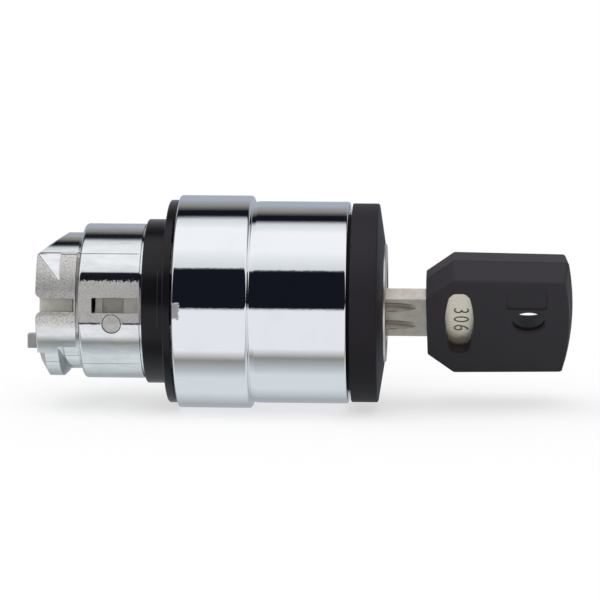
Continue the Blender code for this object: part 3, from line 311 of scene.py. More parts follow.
def zinc_finish():
    """Die-cast zinc: glossy skin on the barrel, frosted grain on the flat and upper claws, seams."""
    look = Finish("cast_zinc")
    x, y, z = look.axes()
    rise = z.angle(0.0 - y)
    neck = look.spread(x, -11.4, -12.0)
    barrel = 1.0 - neck
    near = look.spread(y, -1.0, -2.0)
    on_flat = look.spread(y, -9.9, -10.1)
    torn = look.noise(0.3, 3.0, 0.75) - 0.5

    # Frost: the claws' upper halves but for the slanted facet, the flat and the pin's end
    claw_top = 7.11
    facet_slope = 1.122
    facet = look.spread(z + (x + 17.3) * facet_slope, 7.23, 7.33) * look.spread(x, -14.05, -14.15)
    claw = neck * near * look.spread(z, claw_top + 0.04, claw_top - 0.04)
    claw = claw * look.spread(z, -3.0, -1.7) * (1.0 - facet)
    flat_middle = 0.86
    tearing = 0.5 + 1.4 * look.spread(z, 1.0, 2.5)
    edge = abs(z - flat_middle + tearing * torn)
    flat = look.spread(edge, 2.95, 2.75) * look.spread(y, -9.6, -9.9) * barrel
    to_pin = ((x - PIN_X) ** 2.0 + (z - PIN_Z) ** 2.0) ** 0.5
    pin = look.spread(to_pin, 1.1, 0.98) * on_flat
    frost = claw.most(flat).most(pin)

    # Painted shade in the recess under the lower claw's lead-in, on the claw's side wall
    recess_x = -14.45
    wedge = x - recess_x + 0.4 * (z + 5.3)
    recess = look.spread(wedge, 0.06, -0.06) * look.spread(x, recess_x - 0.1, recess_x)
    recess = recess * look.spread(z, -5.4, -5.8) * look.spread(y, 0.0, -1.0)

    # Sunk brow and belly of the barrel, which bend what it reflects
    brow = look.spread(rise, math.radians(18.5), math.radians(29.0))
    belly = look.spread(rise, math.radians(-54.0), math.radians(-20.0))
    swell = (0.6 * brow + 0.4 * belly) * look.spread(y, 8.0, -5.0) * barrel

    # Seams of the die along the barrel and the claw, and a painted dark reflection line along the flat's
    # lower edge beside the pin
    seam_width = math.radians(0.34)
    high_line = math.radians(43.3)
    low_line = math.radians(-47.2)
    high_seam = look.spread(abs(rise - high_line), seam_width, 0.3 * seam_width) * barrel
    low_seam = look.spread(abs(rise - low_line), seam_width, 0.3 * seam_width)
    claw_seam = look.spread(abs(z - claw_top - 0.01), 0.07, 0.03) * near * neck
    visible = look.spread(x, -3.5, -3.6) * look.spread(x, -17.5, -17.0)
    seams = high_seam.most(claw_seam).most(low_seam) * visible
    # Painted reflection: a dark, torn line along the flat's lower edge, broken round the pin
    painted_edge_reflection_z = -1.9
    painted_edge_reflection = look.spread(abs(z - painted_edge_reflection_z + 0.35 * torn), 0.15, 0.08) * on_flat
    painted_edge_reflection = painted_edge_reflection * barrel * look.spread(abs(x - PIN_X), 1.45, 1.6)

    fine = look.noise(0.06, 3.0, 0.65)
    coarse = look.noise(0.2, 3.0, 0.8)
    flow = look.noise(0.8, 4.0, 0.6, look.stretched((0.3, 1.0, 1.0)))
    relief = look.bump(look.noise(2.2, 1.0, 0.5), 0.006)
    relief = look.bump(swell, 0.27, relief)
    relief = look.bump(flow, 0.0012, relief)
    relief = look.bump(fine * (0.05 + 0.95 * frost), 0.016, relief)
    relief = look.bump(coarse * frost, 0.08, relief)
    relief = look.bump(1.0 - seams, 0.03, relief)
    bright = look.blend(look.spread(flow, 0.3, 0.7), (0.74, 0.76, 0.77), (0.86, 0.87, 0.87))
    warm = look.blend(0.7 * frost, bright, (0.9, 0.855, 0.79))
    specks = look.spread(coarse, 0.52, 0.36) * (0.03 + 0.9 * claw + 0.45 * flat + 0.3 * pin)
    grained = look.blend(specks * 0.7, warm, (0.24, 0.23, 0.22))
    grained = look.blend(0.6 * pin, grained, (0.55, 0.53, 0.51))
    # Dark die seams, and the painted dark reflection line at the flat's lower edge
    colour = look.blend((seams * 0.7).most(painted_edge_reflection * 0.9), grained, (0.05, 0.05, 0.055))
    # Painted shade: the recess under the lower claw's lead-in is darkened
    colour = look.blend(0.75 * recess, colour, (0.22, 0.26, 0.28))
    roughness = 0.1 + 0.2 * frost + 0.2 * flat + 0.3 * seams
    return look.surface(colour, roughness, 1.0, relief)


def rubber_finish():
    """Black moulded gasket, satin, with dust in its pores and a painted highlight line round its collar on
    the near side.
    """
    look = Finish("gasket_rubber")
    x, y, z = look.axes()
    # Painted highlight: a thin lighter line round the collar on the near side
    lip = look.spread(abs(x + 0.8), 0.08, 0.03) * look.spread(abs(z - 1.3), 4.3, 3.3)
    painted_lip_highlight = 0.8 * lip * look.spread(y, -9.0, -10.0)
    grain = look.noise(0.12, 3.0, 0.6)
    cloud = look.noise(2.0, 4.0, 0.6)
    dust = look.spread(look.noise(0.2, 5.0, 0.7), 0.62, 0.75)
    normal = look.bump(grain, 0.008)
    dusty = look.blend(0.16 * dust, (0.009, 0.008, 0.0105), (0.2, 0.19, 0.18))
    colour = look.blend(painted_lip_highlight, dusty, (0.046, 0.043, 0.05))
    return look.surface(colour, 0.17 + 0.1 * cloud, 0.0, normal, {"Specular IOR Level": 0.24})


def cap_finish():
    """Black moulded ring with a fine sparked grain."""
    look = Finish("cap_black")
    grain = look.noise(0.09, 4.0, 0.65)
    cloud = look.noise(3.0, 3.0, 0.5)
    dust = look.spread(look.noise(0.15, 4.0, 0.7), 0.64, 0.74)
    normal = look.bump(grain, 0.012)
    colour = look.blend(0.14 * dust, (0.028, 0.025, 0.030), (0.16, 0.16, 0.16))
    return look.surface(colour, 0.42 + 0.12 * cloud, 0.0, normal, {"Specular IOR Level": 0.1})


def bow_finish():
    """Black moulded bow, dull, with scuffs and lint in the grain, and painted shade inside the ring hole.
    """
    look = Finish("bow_black")
    x, deep, height = look.key_axes()
    to_hole = ((x - HOLE_X) ** 2.0 + (height - HOLE_Z) ** 2.0) ** 0.5
    # Painted shade: the inner walls of the ring hole are darkened almost to black
    inside = look.spread(deep, 0.3 - BOW_HALF, 0.6 - BOW_HALF)
    inside = inside * look.spread(deep, BOW_HALF, BOW_HALF - 0.1)
    shade = look.spread(to_hole, 5.3, 5.2) * inside
    grain = look.noise(0.1, 4.0, 0.65)
    cloud = look.noise(2.4, 4.0, 0.6)
    scuff = look.noise(0.07, 3.0, 0.6, look.stretched((0.06, 1.0, 1.0), (0.3, 0.5, 0.2)))
    scratches = look.spread(scuff, 0.66, 0.75)
    lint = look.spread(look.noise(0.14, 5.0, 0.75), 0.66, 0.76)
    normal = look.bump(grain, 0.014)
    normal = look.bump(scratches, 0.006, normal)
    dusty = look.blend(0.2 * lint + 0.08 * scratches, (0.061, 0.055, 0.064), (0.2, 0.19, 0.18))
    colour = look.blend(0.9 * shade, dusty, (0.004, 0.004, 0.005))
    return look.surface(colour, 0.44 + 0.12 * cloud, 0.0, normal, {"Specular IOR Level": 0.1})


def lock_finish():
    """Nickel plate turned on a lathe: fine rings round the axis."""
    look = Finish("lock_nickel")
    _, y, z = look.axes()
    radius = (y * y + z * z) ** 0.5
    ring_width = 0.05
    rings = look.node("ShaderNodeTexNoise", {"noise_dimensions": "1D"}, {
        "W": radius, "Scale": 1.0 / ring_width, "Detail": 2.0})
    cloud = look.noise(1.2, 3.0, 0.6)
    normal = look.bump(rings, 0.004)
    colour = look.blend(cloud, (0.78, 0.77, 0.74), (0.62, 0.61, 0.58))
    return look.surface(colour, 0.28 + 0.12 * cloud, 1.0, normal)


def key_finish():
    """Nickel-plated key blank, drawn lengthwise: paler on the plate, with painted shade on the shank's near
    face and in its grooves, and the pressed number darker.
    """
    look = Finish("key_nickel")
    x, deep, height = look.key_axes()
    drawn = look.noise(0.06, 3.0, 0.6, look.stretched((0.04, 1.0, 1.0)))
    cloud = look.noise(1.4, 4.0, 0.6)
    mottle = look.noise(0.35, 4.0, 0.65)
    plate = look.spread(x, 36.0, 37.0)
    rise = abs(height - KEY_DROP)
    # Painted shade: the shank's near face, which faces down, is darkened, and its grooves more so
    side = look.spread(deep, 0.2, -0.3) * (1.0 - plate)
    side = side * look.spread(rise, KEY_HEIGHT / 2 - 0.02, KEY_HEIGHT / 2 - 0.12)
    groove = look.spread(deep, -0.9, -0.6) * side
    # The pressed number is darker
    pressed = plate * look.spread(deep, -0.925, -0.86) * look.spread(deep, 0.0, -0.1)
    normal = look.bump(drawn, 0.008)
    normal = look.bump(mottle, 0.006, normal)
    shank = look.blend(look.spread(cloud, 0.3, 0.7), (0.53, 0.48, 0.42), (0.66, 0.61, 0.54))
    pale = look.blend(look.spread(mottle, 0.35, 0.65), (0.94, 0.84, 0.68), (1.0, 0.92, 0.78))
    # The shank darkened by the painted shade on its near face and in its grooves
    dull = look.blend(0.45 * side + 0.25 * groove, shank, (0.145, 0.11, 0.08))
    clean = look.blend(plate, dull, pale)
    colour = look.blend(0.8 * pressed, clean, (0.16, 0.1, 0.08))
    return look.surface(colour, 0.24 + 0.14 * drawn + 0.1 * plate, 1.0 - 0.25 * plate, normal)


def plain_plastic_finish(name, colour, worn, roughness):
    """Moulded inner plastic with a light grain and slightly uneven colour."""
    look = Finish(name)
    grain = look.noise(0.12, 3.0, 0.6)
    cloud = look.noise(1.6, 4.0, 0.6)
    mixed = look.blend(look.spread(cloud, 0.3, 0.7), colour, worn)
    return look.surface(mixed, roughness + 0.1 * cloud, 0.0, look.bump(grain, 0.01))


def plain_metal_finish(name, colour, worn, roughness, stretch):
    """Drawn or stamped metal with streaks along its own direction."""
    look = Finish(name)
    streak = look.noise(0.06, 3.0, 0.6, look.stretched(stretch))
    cloud = look.noise(1.0, 4.0, 0.6)
    mixed = look.blend(look.spread(cloud, 0.3, 0.7), colour, worn)
    return look.surface(mixed, roughness + 0.12 * streak, 1.0, look.bump(streak, 0.006))


FINISHES = {}
PLASTICS = {
    "cam_white": ((0.97, 0.96, 0.88), (0.88, 0.86, 0.76), 0.34),
    "pusher_grey": ((0.42, 0.43, 0.43), (0.36, 0.37, 0.37), 0.42),
    "seal_rubber": ((0.02, 0.02, 0.02), (0.03, 0.03, 0.03), 0.5),
}
METALS = {
    "zinc_plated_steel": ((0.55, 0.55, 0.53), (0.66, 0.66, 0.62), 0.3, (1.0, 1.0, 1.0)),
    "spring_steel": ((0.5, 0.5, 0.52), (0.62, 0.62, 0.63), 0.22, (1.0, 0.3, 0.3)),
    "wafer_brass": ((0.72, 0.52, 0.24), (0.6, 0.42, 0.18), 0.26, (1.0, 0.1, 1.0)),
}


def make_finishes():
    """Every finish, kept by the name of its slot."""
    FINISHES.update({
        "bezel_chrome": chrome_finish(),
        "cast_zinc": zinc_finish(),
        "gasket_rubber": rubber_finish(),
        "cap_black": cap_finish(),
        "bow_black": bow_finish(),
        "lock_nickel": lock_finish(),
        "key_nickel": key_finish(),
    })
    for slot, values in PLASTICS.items():
        FINISHES[slot] = plain_plastic_finish(slot, *values)
    for slot, values in METALS.items():
        FINISHES[slot] = plain_metal_finish(slot, *values)


# Mesh work

def filleted(corners, fineness=10.0, chords=None):
    """A closed outline of (a, b) and (a, b, fillet) corners, each fillet as an arc of short chords."""
    outline = []
    count = len(corners)
    for index, (a, b, *fillet) in enumerate(corners):
        corner = Vector((a, b))
        before = Vector(corners[index - 1][:2]) - corner
        after = Vector(corners[(index + 1) % count][:2]) - corner
        if not fillet or fillet[0] <= 0.0:
            outline.append(corner)
            continue
        before.normalize()
        after.normalize()
        opening = before.angle(after)
        centre = corner + (before + after).normalized() * fillet[0] / math.sin(opening / 2)
        reach_back = fillet[0] / math.tan(opening / 2)
        first = corner + before * reach_back - centre
        turn = math.pi - opening
        if before.x * after.y - before.y * after.x > 0:
            turn = -turn
        steps = chords or max(2, math.ceil(math.degrees(abs(turn)) / fineness))
        for step in range(steps + 1):
            part = Matrix.Rotation(turn * step / steps, 2) @ first
            outline.append(centre + part)
    return outline


def rectangle(centre, half, lower=0.0, upper=0.0, chords=None):
    """Four corners round a centre, with one fillet below and one above."""
    a, b = centre
    wide, tall = half
    return filleted([
        (a - wide, b - tall, lower), (a + wide, b - tall, lower),
        (a + wide, b + tall, upper), (a - wide, b + tall, upper)], chords=chords)


def turning_tree():
    """A tree that sweeps a closed section round the X axis, as a lathe does."""
    tree = bpy.data.node_groups.new("turned_section", "GeometryNodeTree")
    inputs = (
        ("Section", "Geometry", None), ("Sides", "Int", 192), ("Path radius", "Float", 10 * MM),
        ("Weld distance", "Float", WELD), ("Finish", "Material", None))
    for name, kind, default in inputs:
        made = tree.interface.new_socket(name=name, in_out="INPUT", socket_type="NodeSocket" + kind)
        if default is not None:
            made.default_value = default
    tree.interface.new_socket(name="Turned", in_out="OUTPUT", socket_type="NodeSocketGeometry")
    plan = Plan(tree)
    given = tree.nodes.new("NodeGroupInput")
    section, sides, path, weld, finish = [Wire(tree, output) for output in given.outputs[:len(inputs)]]
    outline = plan.node("GeometryNodeMeshToCurve", None, {"Mesh": section})
    course = plan.node("GeometryNodeCurvePrimitiveCircle", {"mode": "RADIUS"},
                       {"Resolution": sides, "Radius": path})
    swept = plan.node("GeometryNodeCurveToMesh", None, {"Curve": course, "Profile Curve": outline})
    level = plan.node("GeometryNodeTransform", None,
                      {"Geometry": swept, "Rotation": (0.0, math.radians(90.0), 0.0)})
    closed = plan.node("GeometryNodeMergeByDistance", None, {"Geometry": level, "Distance": weld})
    real = plan.node("GeometryNodeRealizeInstances", None, {"Geometry": closed})
    painted = plan.node("GeometryNodeSetMaterial", None, {"Geometry": real, "Material": finish})
    end = tree.nodes.new("NodeGroupOutput")
    tree.links.new(painted.socket, end.inputs[0])
    return tree


def placed(name, data):
    """A new object in the scene."""
    made = bpy.data.objects.new(name, data)
    bpy.context.scene.collection.objects.link(made)
    return made


def evaluated_mesh(piece):
    """The piece's mesh with its modifiers worked in."""
    bpy.context.view_layer.update()
    depsgraph = bpy.context.evaluated_depsgraph_get()
    return bpy.data.meshes.new_from_object(piece.evaluated_get(depsgraph), depsgraph=depsgraph)


def settled(piece):
    """The same piece with its modifiers worked into its mesh."""
    baked = evaluated_mesh(piece)
    piece.modifiers.clear()
    old = piece.data
    piece.data = baked
    bpy.data.meshes.remove(old)
    baked.name = piece.name
    return piece


def shaded(piece, angle=FACET_ANGLE):
    """Closed seams, faces outwards, smooth shading with sharp edges past the angle."""
    bm = bmesh.new()
    bm.from_mesh(piece.data)
    bmesh.ops.remove_doubles(bm, verts=bm.verts, dist=WELD)
    bmesh.ops.recalc_face_normals(bm, faces=bm.faces)
    bm.to_mesh(piece.data)
    bm.free()
    piece.data.shade_smooth()
    piece.data.set_sharp_from_angle(angle=angle)
    return piece


def turned(name, outline, finish, sides=192):
    """A closed (x, radius) outline turned round the X axis."""
    tree = bpy.data.node_groups.get("turned_section") or turning_tree()
    path = sum(r for x, r in outline) / len(outline)
    mesh = bpy.data.meshes.new(name)
    points = [((r - path) * MM, -x * MM, 0.0) for x, r in outline]
    edges = [(index, (index + 1) % len(points)) for index in range(len(points))]
    mesh.from_pydata(points, edges, [])
    piece = placed(name, mesh)
    modifier = piece.modifiers.new("shape", "NODES")
    modifier.node_group = tree
    values = {"Sides": sides, "Path radius": path * MM, "Finish": finish}
    for item in tree.interface.items_tree:
        if item.name in values:
            modifier[item.identifier] = values[item.name]
    return shaded(settled(piece))


def solid(name, bm, finish=None):
    """A new object from a mesh under construction, which is in millimetres."""
    bmesh.ops.scale(bm, vec=(MM, MM, MM), verts=bm.verts)
    bmesh.ops.recalc_face_normals(bm, faces=bm.faces)
    mesh = bpy.data.meshes.new(name)
    bm.to_mesh(mesh)
    bm.free()
    if finish:
        mesh.materials.append(finish)
    return placed(name, mesh)


def lofted(loops):
    """A solid through closed loops of equal count, capped at both ends."""
    bm = bmesh.new()
    rings = [[bm.verts.new(point) for point in loop] for loop in loops]
    count = len(rings[0])
    for here, there in zip(rings, rings[1:]):
        for index in range(count):
            after = (index + 1) % count
            bm.faces.new((here[index], here[after], there[after], there[index]))
    bm.faces.new(rings[0][::-1])
    bm.faces.new(rings[-1])
    return bm


def prism(outline, low, high, axis="Y"):
    """An outline of two coordinates extruded along the third."""
    place = {
        "X": lambda a, b, t: (t, a, b),
        "Y": lambda a, b, t: (a, t, b),
        "Z": lambda a, b, t: (a, b, t),
    }[axis]
    return lofted([[place(a, b, level) for a, b in outline] for level in (low, high)])


def carved(piece, cutters):
    """The piece after each cutter has been taken from it."""
    for tool in cutters:
        cut = piece.modifiers.new("cut", "BOOLEAN")
        cut.operation = "DIFFERENCE"
        cut.solver = "EXACT"
        cut.object = tool
        settled(piece)
        mesh = tool.data
        bpy.data.objects.remove(tool)
        bpy.data.meshes.remove(mesh)
    return piece


def arc(centre, radius, start, end, fineness=6.0):
    """Points on an arc in a plane, angles in degrees."""
    steps = max(2, math.ceil(abs(end - start) / fineness))
    turns = [math.radians(start + (end - start) * step / steps) for step in range(steps + 1)]
    return [(centre[0] + radius * math.cos(t), centre[1] + radius * math.sin(t)) for t in turns]


def circle(centre, radius, fineness):
    """Points all round a circle in a plane."""
    return arc(centre, radius, 0.0, 360.0, fineness)[:-1]


def revolved(stations, centre, fineness):
    """A solid round a line along Y through a point (x, z), from its (y, radius) stations."""
    return lofted([[(x, y, z) for x, z in circle(centre, r, fineness)] for y, r in stations])


def sector(outline, start, end, fineness=2.0):
    """A closed (x, radius) outline turned part of the way round X, from an angle off +Y to +Z."""
    steps = max(4, math.ceil((end - start) / fineness))
    turns = [math.radians(start + (end - start) * step / steps) for step in range(steps + 1)]
    return lofted([[(x, r * math.cos(turn), r * math.sin(turn)) for x, r in outline] for turn in turns])


def laid(bm, turn):
    """The same mesh after a turn matrix."""
    bmesh.ops.transform(bm, matrix=turn, verts=bm.verts)
    return bm


def leaned(piece):
    """Normals weighted by area, so that flat faces stay flat beside small roundings."""
    weigh = piece.modifiers.new("normals", "WEIGHTED_NORMAL")
    weigh.keep_sharp = True
    return settled(piece)


def about_x(degrees):
    """The matrix of a turn about the axis."""
    return Matrix.Rotation(math.radians(degrees), 4, "X")


def seated(piece, body, node):
    """The piece rides on its body and stands for its node, whose part is hidden."""
    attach(piece, body)
    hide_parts(node)
    return piece


def head_ring(name, corners, node, slot, sides=192):
    """A piece turned from its corners, which rides on the head and stands for its node."""
    seated(turned(name, filleted(corners), FINISHES[slot], sides), "head", node)


# Sizes and colours that a user would change

def length(name, description, millimetres):
    """A property that holds a length."""
    default = millimetres * MM
    return FloatProperty(name=name, description=description, default=default, unit="LENGTH", precision=5)


def angle(name, description, degrees):
    """A property that holds an angle."""
    default = math.radians(degrees)
    return FloatProperty(name=name, description=description, default=default, subtype="ANGLE")


def measured(group):
    """The group's values, with its lengths in millimetres."""
    values = {}
    for name in group.__annotations__:
        value = getattr(group, name)
        values[name] = value / MM if group.bl_rna.properties[name].unit == "LENGTH" else value
    return SimpleNamespace(**values)


class BezelSizes(bpy.types.PropertyGroup):
    """Chromed shell."""

    step: length("Step", "Distance of the step from the panel's face", 11.3)
    nose_radius: length("Nose radius", "Radius of the narrower front part", 13.75)
    edge: length("Edge", "Rounding of the shell's edges", 0.28)
    sides: IntProperty(name="Sides", description="Flat faces round the shell", default=256, min=32, max=512)


class CastingSizes(bpy.types.PropertyGroup):
    """Zinc barrel with its claws."""

    neck_radius: length("Neck radius", "Radius of the neck between the claws", 9.3)
    claw_radius: length("Claw radius", "Radius over the two claws", 10.3)
    shoulder: length("Shoulder", "Place of the barrel's rear shoulder along the axis", -11.57)
    bore_radius: length("Bore radius", "Radius of the bore", 8.4)
    window_angle: angle("Window angle", "How far the window lies below the near side", 2.9)
    flat_angle: angle("Flat angle", "How far the flat lies below the near side", 4.5)


class KeySizes(bpy.types.PropertyGroup):
    """Key in its lock."""

    turn: angle("Turn", "Angle of the key's plane about the axis at rest", KEY_ANGLE)
    drop: length("Drop", "Middle of the key from the axis, along its own height", KEY_DROP)
    bow_thickness: length("Bow thickness", "Thickness over the moulded bow", 2 * BOW_HALF)
    face_edge: length("Face edge", "Rounding where the bow's slopes meet its faces", 0.6)
    blade_height: length("Blade height", "Height of the metal blade", KEY_HEIGHT)
    blade_thickness: length("Blade thickness", "Thickness of the metal blade", 1.87)


class StageSettings(bpy.types.PropertyGroup):
    """Floor, light and camera."""

    floor_colour: FloatVectorProperty(
        name="Floor", description="Colour of the pale floor", subtype="COLOR",
        default=(0.86, 0.86, 0.87), min=0.0, max=1.0)
    distance: length("Camera distance", "From the camera to the point that it looks at", 438.0)
    azimuth: angle("Azimuth", "Camera's angle round the head", 3.12)
    elevation: angle("Elevation", "Camera's angle above the horizon", 6.8)
    roll: angle("Roll", "Camera's tilt about its own line of sight", 0.16)
    lens: FloatProperty(name="Lens", description="Focal length on a 36 mm sensor", default=192.5)


# Operators

class SWITCH_OT_finishes(bpy.types.Operator):
    """Makes every finish."""

    bl_idname = "switch.finishes"
    bl_label = "Finishes"

    def execute(self, context):
        make_finishes()
        for node in frame["nodes"].values():
            node.data.materials.clear()
        for part in frame["record"]["subparts"]:
            frame["nodes"][part["node"]].data.materials.append(FINISHES[part["material_slot"]])
        return {"FINISHED"}


class SWITCH_OT_bezel(bpy.types.Operator):
    """Builds the chromed shell: a wide rear band, a step and a narrower nose."""

    bl_idname = "switch.bezel"
    bl_label = "Bezel"

    def execute(self, context):
        sizes = measured(context.scene.switch_bezel)
        edge = sizes.edge
        bore = 12.3
        web = 2.0
        seat = 10.4
        corners = [
            (BEZEL_REAR, seat), (BEZEL_REAR, BEZEL_RADIUS, edge),
            (sizes.step, BEZEL_RADIUS, 1.6 * edge),
            (sizes.step + 0.25, sizes.nose_radius - 0.12, 0.5 * edge),
            (sizes.step + 0.9, sizes.nose_radius, 3.0 * edge), (BEZEL_FRONT, sizes.nose_radius, edge),
            (BEZEL_FRONT, bore, 0.5 * edge), (BEZEL_REAR + web, bore), (BEZEL_REAR + web, seat)]
        head_ring("bezel", corners, "bezel_shell", "bezel_chrome", sizes.sides)
        return {"FINISHED"}


class SWITCH_OT_gasket(bpy.types.Operator):
    """Builds the rubber flange and the collar that sits in the panel's hole."""

    bl_idname = "switch.gasket"
    bl_label = "Gasket"

    def execute(self, context):
        collar = 11.2
        inner = 10.4
        corners = [
            (GASKET_REAR, inner), (GASKET_REAR, collar, 0.22), (0.0, collar, 0.3),
            (0.0, GASKET_RADIUS, 0.3), (GASKET_FRONT, GASKET_RADIUS, 0.15), (GASKET_FRONT, inner)]
        head_ring("gasket", corners, "panel_gasket", "gasket_rubber")
        return {"FINISHED"}


class SWITCH_OT_cap(bpy.types.Operator):
    """Builds the black front ring with its shallow cone and skirt."""

    bl_idname = "switch.cap"
    bl_label = "Front ring"

    def execute(self, context):
        shoulder = 24.9
        rim = 28.5
        inner = 8.4
        hollow = 10.3
        web = 26.6
        skirt = 12.0
        corners = [
            (CAP_REAR, hollow), (CAP_REAR, skirt, 0.1), (shoulder, skirt),
            (shoulder, CAP_RADIUS, 0.12), (rim, CAP_RADIUS, 0.3), (CAP_FRONT, inner, 0.2),
            (web, inner), (web, hollow)]
        head_ring("front_ring", corners, "front_cap", "cap_black")
        return {"FINISHED"}


class SWITCH_OT_casting(bpy.types.Operator):
    """Builds the zinc barrel: claws, bayonet recess, flat, notch, window and pin hole."""

    bl_idname = "switch.casting"
    bl_label = "Casting"

    def execute(self, context):
        sizes = measured(context.scene.switch_casting)
        neck, claw = sizes.neck_radius, sizes.claw_radius
        bore, shoulder = sizes.bore_radius, sizes.shoulder
        seat = 10.1
        groove = shoulder - 0.35
        groove_floor = neck - 0.12
        lip = 7.6
        lip_x = -16.05
        seat_x = GASKET_REAR - 0.3
        flange_x = 3.7
        flange = 1.7
        tube = 9.9
        web_rear = -1.5
        web_front = 0.2
        web_bore = 4.6
        outline = filleted([
            (CASTING_REAR, lip, 0.12), (CASTING_REAR, claw, 0.18), (groove, claw, 0.1),
            (groove, groove_floor, 0.08), (shoulder, groove_floor, 0.08),
            (shoulder, BARREL_RADIUS, 0.5), (seat_x, BARREL_RADIUS, 0.1), (seat_x, seat),
            (flange_x, seat), (flange_x, OUTSIDE), (flange_x + flange, OUTSIDE),
            (flange_x + flange, tube), (CASTING_FRONT, tube, 0.1), (CASTING_FRONT, bore, 0.1),
            (web_front, bore), (web_front, web_bore), (web_rear, web_bore),
            (web_rear, bore), (lip_x, bore), (lip_x, lip),
        ], 8.0)
        casting = turned("casting", outline, FINISHES["cast_zinc"], 160)
        carved(casting, claw_cutters(sizes) + opening_cutters(sizes))
        shaded(casting, math.radians(11.0))
        leaned(casting)
        seated(casting, "head", "barrel_casting")
        return {"FINISHED"}


def claw_cutters(sizes):
    """What leaves the two claws: neck top, bayonet recess, lead-in, rear bevel and corners."""
    neck, claw, shoulder = sizes.neck_radius, sizes.claw_radius, sizes.shoulder
    behind = CASTING_REAR - 1.0
    in_groove = shoulder - 0.17
    flank = shoulder - 2.23
    corner = 0.7
    half_top = 45.0
    start = 31.0
    lead_start = 37.0
    lift = OUTSIDE - claw
    top = [(behind, neck), (in_groove, neck), (in_groove, OUTSIDE), (behind, OUTSIDE)]
    recess = filleted([
        (flank, neck, 0.22), (in_groove, neck), (in_groove, OUTSIDE),
        (flank - corner - lift, OUTSIDE), (flank, claw - corner, 0.3)])
    slope = 1.7
    lead_x = flank - 2.5
    lead = [(behind, claw - slope * (lead_x - behind)), (lead_x + lift / slope, OUTSIDE), (behind, OUTSIDE)]
    run = 3.4
    drop = 2.25
    far = 3.0
    bevel = [
        (CASTING_REAR - far, neck - drop * (1 + far / run)),
        (CASTING_REAR + run + far, neck + drop * far / run), (CASTING_REAR - far, neck + far)]
    tools = [
        solid("neck_top", sector(top, half_top, 180.0 - half_top)),
        solid("bayonet", sector(recess, start - 180.0, -start)),
        solid("lead_in", sector(lead, lead_start - 180.0, -lead_start)),
        solid("top_bevel", prism(bevel, -OUTSIDE, OUTSIDE)),
    ]
    for sign in (1.0, -1.0):
        tools.append(solid("corner", claw_corner(sizes, flank - 0.3, half_top, sign)))
    return tools


def claw_corner(sizes, wall, top_angle, sign):
    """A wedge over the slanted facet at the claw's upper rear corner."""
    low_angle = 21.0

    def on_claw(x, radius, degrees):
        turn = math.radians(degrees)
        return Vector((x, -sign * radius * math.cos(turn), radius * math.sin(turn)))

    rear = on_claw(CASTING_REAR, sizes.claw_radius, top_angle)
    low = on_claw(wall, sizes.claw_radius, low_angle)
    deep = on_claw(wall, sizes.neck_radius + 0.25, top_angle)
    past = [
        rear + (rear - low).normalized(),
        low + (low - deep).normalized(),
        deep + (deep - low).normalized() * 0.4]
    out = Vector((0.0, -sign * 3.0, 3.0))
    return lofted([past, [point + out for point in past]])


def opening_cutters(sizes):
    """The flat and its openings on the near side: notch, window and pin hole."""
    inside = sizes.bore_radius - 1.0
    behind = CASTING_REAR - 1.5
    flat_half = 2.8
    flat_y = math.sqrt(BARREL_RADIUS ** 2 - flat_half ** 2)
    flat_front = -3.0
    window_side = about_x(180.0 - math.degrees(sizes.window_angle))
    flat_side = about_x(180.0 - math.degrees(sizes.flat_angle))
    flat = [(behind, flat_y), (flat_front, flat_y), (flat_front, OUTSIDE), (behind, OUTSIDE)]
    flat_tool = prism(flat, -2 * flat_half, 2 * flat_half, "Z")
    notch_half = 0.9
    mouth = 0.95
    notch_end = sizes.shoulder - 0.56
    reach_out = notch_half + 2.0
    lips_x = CASTING_REAR - 0.02
    notch = filleted([
        (behind, -reach_out), (lips_x, -reach_out), (lips_x, -notch_half, mouth),
        (notch_end, -notch_half, 0.12), (notch_end, notch_half, 0.12), (lips_x, notch_half, mouth),
        (lips_x, reach_out), (behind, reach_out)])
    window_x = -6.625
    window = rectangle((window_x, 0.0), (3.125, 1.025), 0.15, 0.15)
    pin_side = about_x(180.0 + PIN_ANGLE)
    pin = circle((PIN_X, 0.0), 1.31, 9.0)
    return [
        solid("flat", laid(flat_tool, flat_side)),
        solid("notch", laid(prism(notch, inside, OUTSIDE), window_side)),
        solid("window", laid(prism(window, inside, OUTSIDE), window_side)),
        solid("pin_hole", laid(prism(pin, inside, OUTSIDE), pin_side)),
    ]


class SWITCH_OT_pin(bpy.types.Operator):
    """Builds the pressed pin whose end lies in the flat below the window."""

    bl_idname = "switch.pin"
    bl_label = "Retaining pin"

    def execute(self, context):
        radius = 1.23
        face = 10.47
        root = 8.0
        stations = [
            (root, radius), (face - 0.14, radius), (face - 0.03, radius - 0.06),
            (face, radius - 0.18), (face - 0.02, radius - 0.32), (face - 0.06, 0.5 * radius)]
        bm = laid(revolved(stations, (PIN_X, 0.0), 7.5), about_x(180.0 + PIN_ANGLE))
        pin = solid("pin", bm, FINISHES["cast_zinc"])
        shaded(pin)
        seated(pin, "head", "retaining_pin")
        return {"FINISHED"}


def bow_loop(sizes, inset, y):
    """The bow's outline drawn in by an inset, at one level of its thickness."""
    width = 22.96
    half = width / 2 - inset
    corner = 4.1
    run = 3.75
    bulge = 0.85
    taper = 0.35
    bulge_r = (half ** 2 + bulge ** 2) / (2 * bulge)
    tip = BOW_FRONT - 0.35 * inset
    sweep = math.degrees(math.asin((half - taper) / bulge_r))
    end = arc((tip - bulge_r, 0.0), bulge_r, sweep, -sweep, sweep / 12)
    corners = [
        (BOW_REAR + 0.15, corner - half, 0.2), (BOW_REAR, half - corner, 0.2),
        (BOW_REAR + run, half, 0.5), (end[0][0], half - taper, 0.45)]
    corners += end[2:-2]
    corners += [(end[-1][0], taper - half, 0.45), (BOW_REAR + run, -half, 0.5)]
    return [(x, y, z + sizes.drop) for x, z in filleted(corners, chords=5)]


